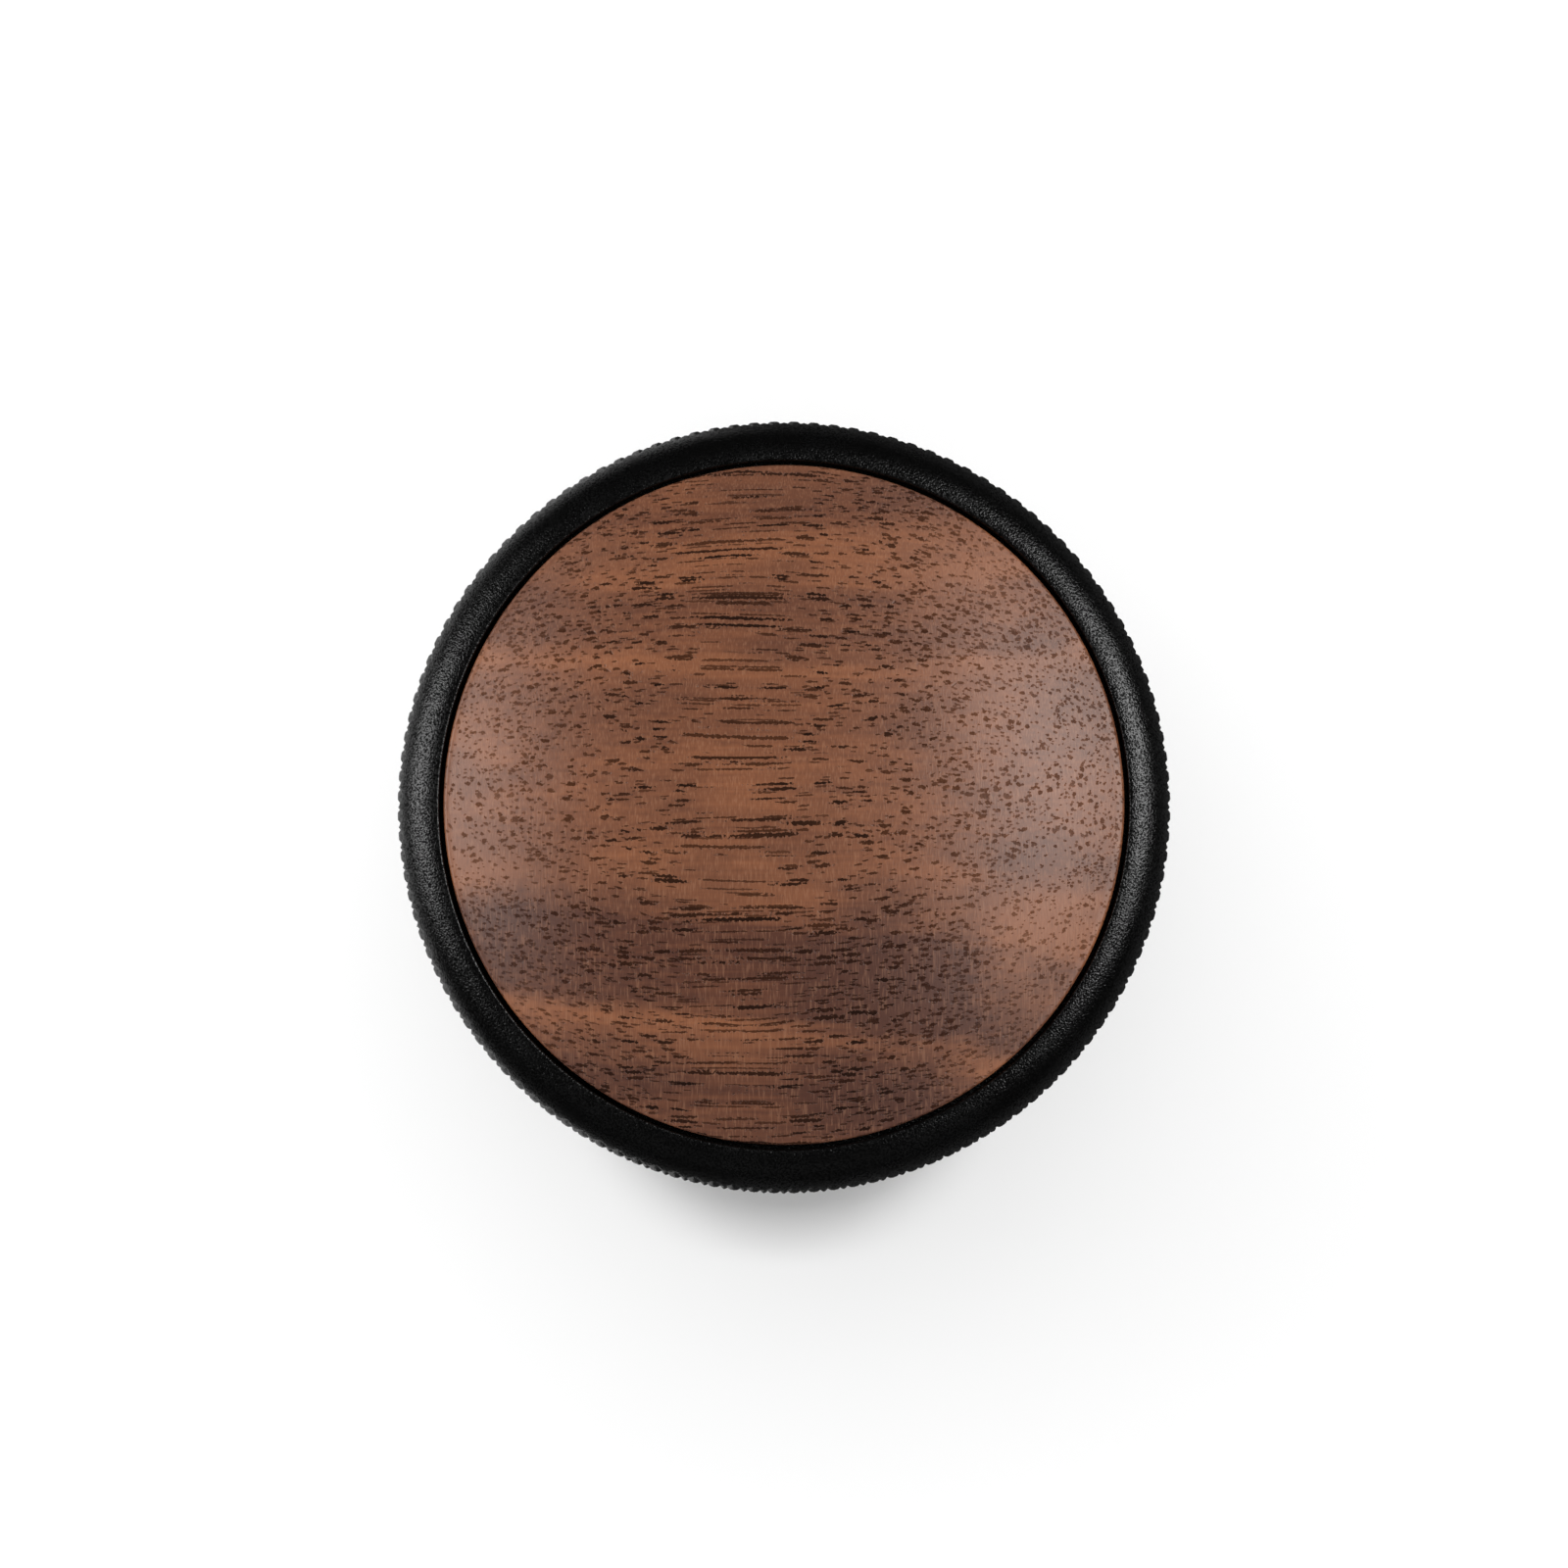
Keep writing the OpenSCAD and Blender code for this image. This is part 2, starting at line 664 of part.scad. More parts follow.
// Black shell that the palm rests on: a skirt, a knurled grip, a rounded rim and a recessed plate. The
// knurl runs out over the rounded rim, which leaves the lobes between its grooves.
module cap_shell() {
    edge = 0.3;
    skirt_r = grip_r - edge;
    relief_z = knurl_bottom_z - relief_w / 2;
    color(BLACK)
        difference() {
            rotate_extrude()
                polygon(concat(
                    [[skirt_bore_r, skirt_z + edge], [skirt_bore_r + edge, skirt_z]],
                    arc(skirt_r - skirt_round, skirt_z + skirt_round, skirt_round, 270, 360),
                    [[skirt_r, relief_z - edge], [relief_r + edge, relief_z - edge], [relief_r, relief_z]],
                    [[relief_r, relief_z + relief_w], [grip_r, relief_z + relief_w]],
                    arc(grip_r - rim_w, rim_z - rim_w, rim_w, 0, RIM_ARC_END),
                    [[recess_r, rim_z - rim_edge], [recess_r, recess_z], [0, recess_z], [0, plate_z]],
                    [[boss_bore_r, plate_z], [boss_bore_r, crown_z], [boss_r, crown_z]],
                    [[boss_r, ceiling_z], [skirt_bore_r, ceiling_z]]));
            translate([0, 0, knurl_bottom_z]) knurl_cutter();
        }
}

module inlay_adhesive() {
    color(ADHESIVE) disc(inlay_r - pass_gap, recess_z, inlay_z);
}

// Height of the dome above the inlay's edge, at a share s of its radius. It is fuller than a sphere's
// cap and falls away more steeply at its edge.
function dome(s) = dome_h * (1 - (1 - DOME_STEEPENING) * pow(s, 2) - DOME_STEEPENING * pow(s, 4));

// Domed walnut disc with an eased edge.
module walnut_inlay() {
    ease = 0.35;
    steps = 18;
    color(WALNUT)
        rotate_extrude()
            polygon(concat(
                [[0, inlay_z], [inlay_r, inlay_z], [inlay_r, inlay_edge_z - ease]],
                [for (i = [0 : steps])
                    let (r = (inlay_r - ease) * (1 - i / steps)) [r, inlay_edge_z + dome(r / inlay_r)]]));
}

tamp_base();
guide_tube();
base_bolt();
bolt_washer();
base_o_ring();
lower_spring_seat();
main_spring();
plunger_bush();
gland_ring();
press_bumper();
guide_screws();
shoulder_screws();
collar_springs();
levelling_collar();
collar_bush();
plunger();
wear_ring();
return_cushion();
crown();
lock_screws();
cap_o_ring();
upper_spring_seat();
thrust_washer();
cap_shell();
inlay_adhesive();
walnut_inlay();
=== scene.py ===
"""Looks of a spring-loaded palm tamper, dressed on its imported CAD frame.

The frame gives every place and size. This script adds the surfaces that the CAD model only
approximates: the knurled rim, the domed walnut disc, the turned base and the coil springs. All
lengths below are in millimetres and turn into metres where a mesh or light is made.
"""

from __future__ import annotations

import json
import logging
import math
from dataclasses import dataclass
from enum import Enum

import bpy
import numpy as np
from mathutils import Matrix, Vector

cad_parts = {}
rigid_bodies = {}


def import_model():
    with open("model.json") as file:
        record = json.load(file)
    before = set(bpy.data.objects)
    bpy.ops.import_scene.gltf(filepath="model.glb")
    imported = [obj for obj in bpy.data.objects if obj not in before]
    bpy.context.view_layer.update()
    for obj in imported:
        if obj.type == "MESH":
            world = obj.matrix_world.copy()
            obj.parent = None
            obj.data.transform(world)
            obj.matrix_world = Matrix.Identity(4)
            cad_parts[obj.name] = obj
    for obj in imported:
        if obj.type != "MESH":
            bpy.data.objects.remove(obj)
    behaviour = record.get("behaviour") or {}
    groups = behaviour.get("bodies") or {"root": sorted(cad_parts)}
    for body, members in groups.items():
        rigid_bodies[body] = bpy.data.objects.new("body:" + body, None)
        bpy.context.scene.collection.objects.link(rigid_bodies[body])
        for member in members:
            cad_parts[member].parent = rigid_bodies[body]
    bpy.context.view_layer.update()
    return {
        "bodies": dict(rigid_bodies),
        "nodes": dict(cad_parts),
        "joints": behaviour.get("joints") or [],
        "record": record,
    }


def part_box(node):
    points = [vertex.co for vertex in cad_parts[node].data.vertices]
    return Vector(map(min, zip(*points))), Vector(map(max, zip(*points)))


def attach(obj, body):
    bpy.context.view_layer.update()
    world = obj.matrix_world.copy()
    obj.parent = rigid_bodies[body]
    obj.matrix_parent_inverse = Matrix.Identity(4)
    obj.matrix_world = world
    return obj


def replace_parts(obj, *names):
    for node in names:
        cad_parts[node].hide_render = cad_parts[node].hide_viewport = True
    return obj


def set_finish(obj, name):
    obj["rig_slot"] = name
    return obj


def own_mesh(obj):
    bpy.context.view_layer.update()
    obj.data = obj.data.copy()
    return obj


MM = 0.001

log = logging.getLogger("tamper")

Object = bpy.types.Object
# What feeds a socket: another socket, or a node, which stands for its first output in use
Feed = bpy.types.Node | bpy.types.NodeSocket
Pair = tuple[float, float]
Triple = tuple[float, float, float]
Colour = tuple[float, float, float, float]
# Size of a pattern's cells in millimetres, alike or for each axis
Cell = float | Triple
# Where a value starts and ends, and what it is mapped to at both
Band = tuple[float, float, float, float]


class Slot(Enum):
    """The record's material slots."""

    STAINLESS = "stainless"
    ANODISED = "black_anodised"
    SPRING = "spring_steel"
    ZINC = "zinc_steel"
    ACETAL = "acetal"
    NITRILE = "nitrile"
    ADHESIVE = "adhesive"
    WALNUT = "walnut"


def from_srgb(code: str) -> Colour:
    """Turns an sRGB colour into a linear one.

    Args:
        code: six hexadecimal digits, such as "7a5238".

    Returns:
        Red, green, blue and an alpha of 1.
    """
    channels = [int(code[i : i + 2], 16) / 255 for i in (0, 2, 4)]
    linear = [c / 12.92 if c <= 0.04045 else ((c + 0.055) / 1.055) ** 2.4 for c in channels]
    return (linear[0], linear[1], linear[2], 1.0)


# ---- materials

# Settings that many nodes share
PLUS = {"operation": "ADD"}
MINUS = {"operation": "SUBTRACT"}
TIMES = {"operation": "MULTIPLY"}
OVER = {"operation": "DIVIDE"}
TIMES_PLUS = {"operation": "MULTIPLY_ADD"}
SMOOTHLY = {"interpolation_type": "SMOOTHSTEP"}
COLOURS = {"data_type": "RGBA"}


@dataclass(frozen=True)
class Drift:
    """Noise that shifts a pattern: the size of its cells, its whole reach and its detail."""

    cell: Cell
    reach: float
    detail: float = 1.0


class Graph:
    """A node tree that is built from a surface's patterns towards its output."""

    def __init__(self, tree: bpy.types.NodeTree) -> None:
        """Empties a tree, to fill it.

        Args:
            tree: the tree.
        """
        self.tree = tree
        tree.nodes.clear()

    def add(self, kind: str, inputs: dict | tuple = (), **settings: object) -> bpy.types.Node:
        """Adds a node with its settings and links.

        Args:
            kind: the node's type, without the word ShaderNode.
            inputs: what feeds the sockets in use, in their order or by their names. Each is a
                value, a socket, or a node, which stands for its first output in use.
            settings: the node's own properties.

        Returns:
            The new node.
        """
        node = self.tree.nodes.new("ShaderNode" + kind)
        for name, value in settings.items():
            setattr(node, name, value)
        if isinstance(inputs, dict):
            fed = [(node.inputs[name], feed) for name, feed in inputs.items()]
        else:
            fed = zip([socket for socket in node.inputs if socket.enabled], inputs)
        for socket, feed in fed:
            if isinstance(feed, bpy.types.Node):
                feed = next(output for output in feed.outputs if output.enabled)
            if isinstance(feed, bpy.types.NodeSocket):
                self.tree.links.new(feed, socket)
            else:
                socket.default_value = feed
        return node

    def millimetres(self) -> Feed:
        """The place of a point on the object, in millimetres."""
        place = self.add("TexCoord").outputs["Object"]
        return self.add("VectorMath", (place, 1 / MM), operation="SCALE")

    def grain(self, place: Feed, cell: Cell, detail: float = 2.0, rough: float = 0.5) -> Feed:
        """Smooth noise around 0.5 over the place measured in cells, so its grain is one cell.

        Args:
            place: the point, in millimetres.
            cell: the size of a cell.
            detail: how many finer layers lie over the first.
            rough: how strong each layer is beside the one before.

        Returns:
            The noise.
        """
        per_cell = tuple(1 / c for c in (cell if isinstance(cell, tuple) else (cell,) * 3))
        cells = self.add("VectorMath", (place, per_cell), **TIMES)
        return self.add("TexNoise", (cells, 1.0, detail, rough))

    def drift(self, place: Feed, kind: Drift) -> Feed:
        """Noise around 0 that shifts a pattern by up to half its reach either way."""
        around = self.add("Math", (self.grain(place, kind.cell, kind.detail), 0.5), **MINUS)
        return self.add("Math", (around, kind.reach), **TIMES)


class Finish:
    """A material and the process that gave it its surface."""

    name: str

    def surface(self, g: Graph) -> dict[str, object]:
        """Adds the finish's patterns to a tree.

        Args:
            g: the material's node tree.

        Returns:
            What feeds the principled shader's sockets, by their names.
        """
        raise NotImplementedError

    def material(self) -> bpy.types.Material:
        """Makes the material.

        Returns:
            The new material.
        """
        made = bpy.data.materials.new(self.name)
        made.use_nodes = True
        g = Graph(made.node_tree)
        g.add("OutputMaterial", {"Surface": g.add("BsdfPrincipled", self.surface(g))})
        return made


@dataclass(frozen=True)
class BlackAnodised(Finish):
    """Bead-blasted, black anodised aluminium. The eye sees a deep black, pebbled like fine leather
    by the blasting, that sparkles where a light is mirrored."""

    name: str = "black_anodised_aluminium"
    colours: tuple[str, str] = ("050505", "080808")
    dimple: float = 0.165
    dimple_depth: float = 0.045
    # From a dimple's pit to the tops between: how strongly the surface mirrors
    shine: Band = (0.36, 0.63, 0.07, 0.95)
    # Clouds where the dye took unevenly, and the roughness that goes with them
    cloud: float = 6.0
    roughness: Band = (0.3, 0.7, 0.24, 0.3)

    def surface(self, g: Graph) -> dict[str, object]:
        """Dimples whose tops shine and whose pits are dull, under clouds of dye.

        Args:
            g: the tree.

        Returns:
            What feeds the shader.
        """
        place = g.millimetres()
        height, cloud = g.grain(place, self.dimple, detail=1.0), g.grain(place, self.cloud)
        return {
            "Base Color": g.add("Mix", (cloud, *map(from_srgb, self.colours)), **COLOURS),
            "Roughness": g.add("MapRange", (cloud, *self.roughness), **SMOOTHLY),
            "Specular IOR Level": g.add("MapRange", (height, *self.shine), **SMOOTHLY),
            "Normal": g.add("Bump", {"Distance": self.dimple_depth * MM, "Height": height}),
        }


@dataclass(frozen=True)
class TurnedSteel(Finish):
    """Stainless steel faced and turned on a lathe, then satin polished. The eye sees fine circular
    tool marks that drag each highlight out round the axis."""

    name: str = "turned_stainless_steel"
    colours: tuple[str, str] = ("cdcac4", "bfbcb7")
    mark: float = 0.05
    mark_depth: float = 0.0012
    # Slow changes of polish: rings left by the tool's passes, and smears left by hands
    tool_pass: float = 1.1
    smear: float = 7.0
    roughness: Band = (0.35, 0.65, 0.22, 0.32)

    def surface(self, g: Graph) -> dict[str, object]:
        """Marks that depend only on the distance from the axis and on the height.

        Args:
            g: the tree.

        Returns:
            What feeds the shader.
        """
        place = g.millimetres()
        flat = g.add("VectorMath", (place, (1, 1, 0)), **TIMES)
        radius = g.add("VectorMath", (flat,), operation="LENGTH")
        height = g.add("SeparateXYZ", (place,)).outputs["Z"]
        turned = g.add("CombineXYZ", {"X": radius, "Z": height})
        marks = g.grain(turned, self.mark, detail=3.0, rough=0.6)
        passes, smear = g.grain(turned, self.tool_pass), g.grain(place, self.smear, detail=3.0)
        polish = g.add("Math", (g.add("Math", (passes, smear), **PLUS), 0.5), **TIMES)
        return {
            "Base Color": g.add("Mix", (smear, *map(from_srgb, self.colours)), **COLOURS),
            "Metallic": 1.0,
            "Roughness": g.add("MapRange", (polish, *self.roughness), **SMOOTHLY),
            "Normal": g.add("Bump", {"Distance": self.mark_depth * MM, "Height": marks}),
        }


@dataclass(frozen=True)
class Mottled(Finish):
    """A material whose tone wanders between two close colours, over a fine relief.

    It is dulled where the clouds of tone are, or by the relief where that is what dulls it.
    """

    name: str
    colours: tuple[str, str]
    cloud: float
    relief: Cell
    relief_depth: float
    roughness: Pair
    dulling: Pair = (0.3, 0.7)
    cloud_detail: float = 2.0
    dulled_by_relief: bool = False
    metallic: float = 0.0

    def surface(self, g: Graph) -> dict[str, object]:
        """Clouds of tone over the relief.

        Args:
            g: the tree.

        Returns:
            What feeds the shader.
        """
        place = g.millimetres()
        cloud, relief = g.grain(place, self.cloud, self.cloud_detail), g.grain(place, self.relief)
        dull = relief if self.dulled_by_relief else cloud
        return {
            "Base Color": g.add("Mix", (cloud, *map(from_srgb, self.colours)), **COLOURS),
            "Metallic": self.metallic,
            "Roughness": g.add("MapRange", (dull, *self.dulling, *self.roughness), **SMOOTHLY),
            "Normal": g.add("Bump", {"Distance": self.relief_depth * MM, "Height": relief}),
        }


# Hard-drawn spring wire, lightly oiled. The eye sees a dark silver with faint draw lines.
DRAWN_WIRE = Mottled(
    "drawn_spring_wire", ("a3a19d", "8b8884"), cloud=1.6, cloud_detail=3.0,
    relief=(0.5, 0.5, 0.06), relief_depth=0.0015, roughness=(0.24, 0.38), metallic=1.0,
)
# Bright zinc plate on steel. The eye sees a cool silver with a faint blue and straw bloom.
BRIGHT_ZINC = Mottled(
    "bright_zinc_plate", ("c6c9cc", "cac6b8"), cloud=1.8, dulled_by_relief=True,
    relief=0.12, relief_depth=0.001, roughness=(0.26, 0.36), metallic=1.0,
)
# Turned acetal. The eye sees a creamy, slightly waxy white with faint turning marks.
TURNED_ACETAL = Mottled(
    "turned_acetal", ("e7e3d9", "dcd7ca"), cloud=5.0, dulled_by_relief=True,
    relief=(4.0, 4.0, 0.08), relief_depth=0.002, roughness=(0.4, 0.5),
)
# Moulded nitrile rubber. The eye sees a soft black with a dry grey bloom on it.
MOULDED_NITRILE = Mottled(
    "moulded_nitrile", ("151515", "202020"), cloud=2.5, cloud_detail=3.0,
    relief=0.1, relief_depth=0.003, roughness=(0.55, 0.7),
)
# A cured film of amber adhesive. The eye sees a dull, cloudy straw colour and small bubbles.
CURED_ADHESIVE = Mottled(
    "cured_adhesive", ("9a8a62", "847551"), cloud=3.0, cloud_detail=3.0, dulled_by_relief=True,
    relief=0.4, relief_depth=0.01, roughness=(0.3, 0.5),
)


@dataclass(frozen=True)
class MattCard(Finish):
    """Pale matt card. The eye sees an even, slightly grey white without any shine."""

    name: str = "pale_floor"
    colour: str = "e0e0e0"
    roughness: float = 0.9

    def surface(self, g: Graph) -> dict[str, object]:
        """A plain colour, without patterns."""
        return {"Base Color": from_srgb(self.colour), "Roughness": self.roughness}


@dataclass(frozen=True)
class Vessels:
    """One size of vessel, the tubes along the grain that show as open pores."""

    spacing: float
    radius: float
    share: float
    depth: float


@dataclass(frozen=True)
class Spot:
    """A point of the board in millimetres: its whole place, the parts of it along the grain,
    across it and up, and its place across with the grain's straying in it."""

    place: Feed
    x: Feed
    y: Feed
    z: Feed
    across: Feed


@dataclass(frozen=True)
class OiledWalnut(Finish):
    """Oiled black walnut, its grain along X. The eye sees growth rings from tan to a purplish
    brown, pores that are long dashes where the dome is level and dots where it slopes along the
    grain, fine pale ray flecks across it, and a sheen that the fibres drag out across the grain.

    Rings, vessels and rays are solid patterns of the board, and the dome cuts through them.
    """

    name: str = "oiled_walnut"
    board_half: float = 32.0
    late: str = "5c3322"
    early: str = "945935"
    # Growth rings from the front of the board to its back: place across the grain and paleness
    rings: tuple[Pair, ...] = (
        (-27.5, 0.3), (-25.0, 0.12), (-22.0, 0.45), (-19.3, 0.92), (-17.5, 0.15),
        (-11.3, 0.0), (-9.8, 0.5), (-7.8, 0.95), (-5.3, 0.88), (-3.3, 0.55),
        (0.0, 0.75), (7.0, 0.55), (9.3, 0.62), (10.8, 1.0), (12.6, 0.45),
        (16.8, 0.42), (18.8, 0.85), (21.5, 0.8), (24.5, 0.32), (27.5, 0.6),
    )
    # How the rings lie across the board: their slope and bend, and how both change with y
    ring_slope: Pair = (0.045, -0.0035)
    ring_bend: Pair = (0.001, 0.0001)
    ring_fray: Drift = Drift((22.0, 1.2, 1.2), 2.0, detail=3.0)
    # Patches of figure and of painted sheen: middle, half width and half length, and how much paler
    # the wood is there
    figure_and_sheen: tuple[tuple[float, float, float, float, float], ...] = (
        (8.0, -20.5, 9.0, 9.0, -0.5),
        # Partly paler wood where the dark ring ends, partly painted sheen from the right box
        (22.5, -14.0, 7.0, 7.0, 0.7),
        # Painted sheen: paler wood at the left edge, where the dome mirrors the left box
        (-27.0, 0.0, 5.0, 12.0, 0.3),
        # These two: partly paler wood at the back right, partly painted sheen from the right box
        (15.5, 17.0, 7.0, 4.0, 0.45),
        (17.0, 8.5, 6.0, 5.0, 0.3),
        (8.0, -8.5, 5.0, 3.0, -0.35),
    )
    # Where a patch starts to fade and where it ends, in shares of its half sizes
    figure_and_sheen_reach: Pair = (0.3, 1.2)
    # Streaks of tone along the fibres, and clouds of a darker tint
    fibre: Drift = Drift((11.0, 0.4, 0.4), 0.9, detail=2.0)
    tint: str = "4d2c22"
    cloud: Triple = (14.0, 5.0, 5.0)
    cloud_share: Band = (0.35, 0.7, 0.0, 0.4)
    # Ray flecks: colours, cell, lean, and the shares of pale and of dark fleck over the wood
    pale_ray: str = "ad7c5c"
    dark_ray: str = "3d2318"
    ray: Triple = (0.11, 1.6, 0.22)
    ray_lean: float = 0.3
    pale_share: Band = (0.52, 0.7, 0.0, 0.25)
    dark_share: Band = (0.5, 0.28, 0.0, 0.17)
    # How far the grain strays across the board and in depth, and how it arches away from x
    stray: Drift = Drift((26.0, 8.0, 8.0), 2.2)
    stray_deep: Drift = Drift((5.0, 1.7, 1.7), 0.48)
    grain_arch: float = 0.003
    grain_arch_x: float = -12.0
    # Vessels crowd in arcs, in the late wood, and towards the back
    crowd_arc: Triple = (1.1, 9.0, 1.0)
    crowd_lean: float = 2.9
    crowd_weight: float = 2.0
    crowd_early: float = -0.16
    crowd_back: Band = (3.0, 20.0, 0.0, 0.09)
    # The two kinds of vessel
    wide: Vessels = Vessels(spacing=0.56, radius=0.21, share=0.6, depth=1.0)
    narrow: Vessels = Vessels(spacing=0.34, radius=0.115, share=0.6, depth=0.8)
    # The span of chance over which a vessel goes from absent to there
    appearing: float = 0.06
    # Widths and depths among vessels of one kind, in shares of the widest and the deepest
    widths: Pair = (0.5, 1.0)
    depths: Pair = (0.75, 1.0)
    # How much flatter a vessel is than it is wide
    flatness: float = 1.35
    # Beads along a vessel, and how its width changes with them
    bead: float = 0.26
    bead_width: Band = (0.32, 0.68, 0.5, 1.25)
    # From a vessel's wall, in shares of its radius, to the wood round it
    wall: Band = (0.7, 1.15, 1.0, 0.0)
    # Pores are bold in the middle of the board and fainter towards its ends, in millimetres from x
    bold_x: float = -3.0
    boldness: Band = (9.0, 22.0, 1.0, 0.58)
    # The dark in a pore, and how much of the wood's colour it covers
    pore: str = "1c0e08"
    pore_cover: float = 0.97
    # Relief in millimetres, and how high a ray stands beside a pore's depth
    pore_depth: float = 0.07
    ray_height: float = 0.12
    # From oiled wood to the bottom of a pore: roughness, and how strongly it mirrors
    roughness: Band = (0.0, 1.0, 0.42, 0.7)
    shine: Band = (0.0, 0.8, 0.9, 0.08)
    sheen_stretch: float = 0.6

    def growth(self, g: Graph, at: Spot) -> Feed:
        """The wood's paleness: rings on bowed and frayed lines, then the patches of figure and of
        painted sheen.

        The place across the rings is y + x (slope - x bend) and a little fraying, where slope and
        bend change evenly with y.

        Args:
            g: the tree.
            at: the point.

        Returns:
            0 in a ring's late wood to 1 in its early wood.
        """
        (slope, slope_y), (bend, bend_y) = self.ring_slope, self.ring_bend
        slopes = g.add("Math", (at.across, slope_y, slope), **TIMES_PLUS)
        bends = g.add("Math", (at.across, bend_y, bend), **TIMES_PLUS)
        tilt = g.add("Math", (slopes, g.add("Math", (at.x, bends), **TIMES)), **MINUS)
        bowed = g.add("Math", (at.across, g.add("Math", (at.x, tilt), **TIMES)), **PLUS)
        frayed = g.add("Math", (bowed, g.drift(at.place, self.ring_fray)), **PLUS)
        from_front = g.add("Math", (frayed, self.board_half), **PLUS)
        board = 2 * self.board_half
        growth = g.add("ValToRGB", (g.add("Math", (from_front, board), **OVER),))
        stops = growth.color_ramp.elements
        for _ in self.rings[2:]:
            stops.new(0.5)
        for stop, (y, pale) in zip(stops, self.rings):
            stop.position, stop.color = (y + self.board_half) / board, (pale, pale, pale, 1.0)
        growth.color_ramp.interpolation = "EASE"
        # Some patches are painted sheen: they make the wood paler near the dome's edges, where the
        # side boxes are mirrored
        for middle_x, middle_y, half_x, half_y, paler in self.figure_and_sheen:
            away = g.add("VectorMath", (at.place, (middle_x, middle_y, 0)), **MINUS)
            shares = g.add("VectorMath", (away, (1 / half_x, 1 / half_y, 0)), **TIMES)
            distance = g.add("VectorMath", (shares,), operation="LENGTH")
            patch = g.add("MapRange", (distance, *self.figure_and_sheen_reach, paler, 0.0), **SMOOTHLY)
            growth = g.add("Math", (growth, patch), **PLUS)
        return growth

    def crowd(self, g: Graph, at: Spot, growth: Feed) -> Feed:
        """How closely vessels stand: arcs, less of them in early wood, and more at the back.

        Args:
            g: the tree.
            at: the point.
            growth: how pale the wood is.

        Returns:
            Values around 0.5.
        """
        lean = g.add("Math", (at.z, self.crowd_lean, at.across), **TIMES_PLUS)
        arcs = g.grain(g.add("CombineXYZ", (lean, at.x)), self.crowd_arc, detail=1.0)
        pale = g.add("Math", (growth, 0.5), **MINUS)
        early = g.add("Math", (pale, self.crowd_early), **TIMES)
        back = g.add("MapRange", (at.y, *self.crowd_back), **SMOOTHLY)
        return g.add("Math", (g.add("Math", (arcs, early), **PLUS), back), **PLUS)

    def vessels(self, g: Graph, at: Spot, section: Feed, crowd: Feed, kind: Vessels) -> Feed:
        """Vessels of one kind, as tubes that stand in the board's cross-section.

        Args:
            g: the tree.
            at: the point.
            section: the point in the cross-section.
            crowd: how closely vessels stand there, around 0.5.
            kind: the size of the vessels.

        Returns:
            0 outside a vessel, and inside it up to 1 for a deep one.
        """
        inputs = {"Vector": section, "Scale": 1 / kind.spacing}
        cells = g.add("TexVoronoi", inputs, voronoi_dimensions="2D", feature="F1")
        own, chance, tone = g.add("SeparateColor", (cells.outputs["Color"],)).outputs
        more = g.add("Math", (crowd, 0.5), **MINUS)
        pull = g.add("Math", (more, self.crowd_weight), **TIMES)
        edge = (1 - kind.share, 1 - kind.share + self.appearing, 0.0, 1.0)
        there = g.add("MapRange", (g.add("Math", (chance, pull), **PLUS), *edge), **SMOOTHLY)
        bead = g.grain(at.place, self.bead, detail=1.0)
        beads = g.add("MapRange", (bead, *self.bead_width), **SMOOTHLY)
        least, most = self.widths
        width = g.add("Math", (own, most - least, least), **TIMES_PLUS)
        beaded = g.add("Math", (width, beads), **TIMES)
        radius = g.add("Math", (beaded, kind.radius / kind.spacing), **TIMES)
        away = g.add("Math", (cells.outputs["Distance"], radius), **OVER)
        inside = g.add("MapRange", (away, *self.wall), **SMOOTHLY)
        least, most = self.depths
        depth = g.add("Math", (tone, most - least, least), **TIMES_PLUS)
        deep = g.add("Math", (depth, kind.depth), **TIMES)
        return g.add("Math", (g.add("Math", (there, inside), **TIMES), deep), **TIMES)

    def pores(self, g: Graph, at: Spot, crowd: Feed) -> Feed:
        """Vessels of both kinds where the dome cuts them open.

        They stand in a cross-section of the board whose depth is the height, with the grain's
        straying in it, less an arch that grows with the square of the distance from its x, all
        times the flatness.

        Args:
            g: the tree.
            at: the point.
            crowd: how closely vessels stand there.

        Returns:
            How deep the point is in a pore, from 0 to 1.
        """
        out = g.add("Math", (at.x, self.grain_arch_x), **MINUS)
        arch = g.add("Math", (g.add("Math", (out, out), **TIMES), self.grain_arch), **TIMES)
        strayed = g.add("Math", (at.z, g.drift(at.place, self.stray_deep)), **PLUS)
        depth = g.add("Math", (strayed, arch), **MINUS)
        deep = g.add("Math", (depth, self.flatness), **TIMES)
        section = g.add("CombineXYZ", (at.across, deep))
        wide = self.vessels(g, at, section, crowd, self.wide)
        narrow = self.vessels(g, at, section, crowd, self.narrow)
        outwards = g.add("Math", (at.x, self.bold_x), **MINUS)
        distance = g.add("Math", (outwards,), operation="ABSOLUTE")
        bold = g.add("MapRange", (distance, *self.boldness), **SMOOTHLY)
        deeper = g.add("Math", (wide, narrow), operation="MAXIMUM")
        return g.add("Math", (deeper, bold), **TIMES)

    def rays(self, g: Graph, at: Spot) -> Feed:
        """Flecks where the rays are cut, ribbons that lean with the radius of the log.

        Args:
            g: the tree.
            at: the point.

        Returns:
            Noise around 0.5, high in a pale fleck and low in a dark one.
        """
        radial = g.add("Math", (at.y, g.add("Math", (at.z, self.ray_lean), **TIMES)), **PLUS)
        tangent = g.add("Math", (at.z, g.add("Math", (at.y, self.ray_lean), **TIMES)), **MINUS)
        return g.grain(g.add("CombineXYZ", (at.x, radial, tangent)), self.ray, detail=1.0)

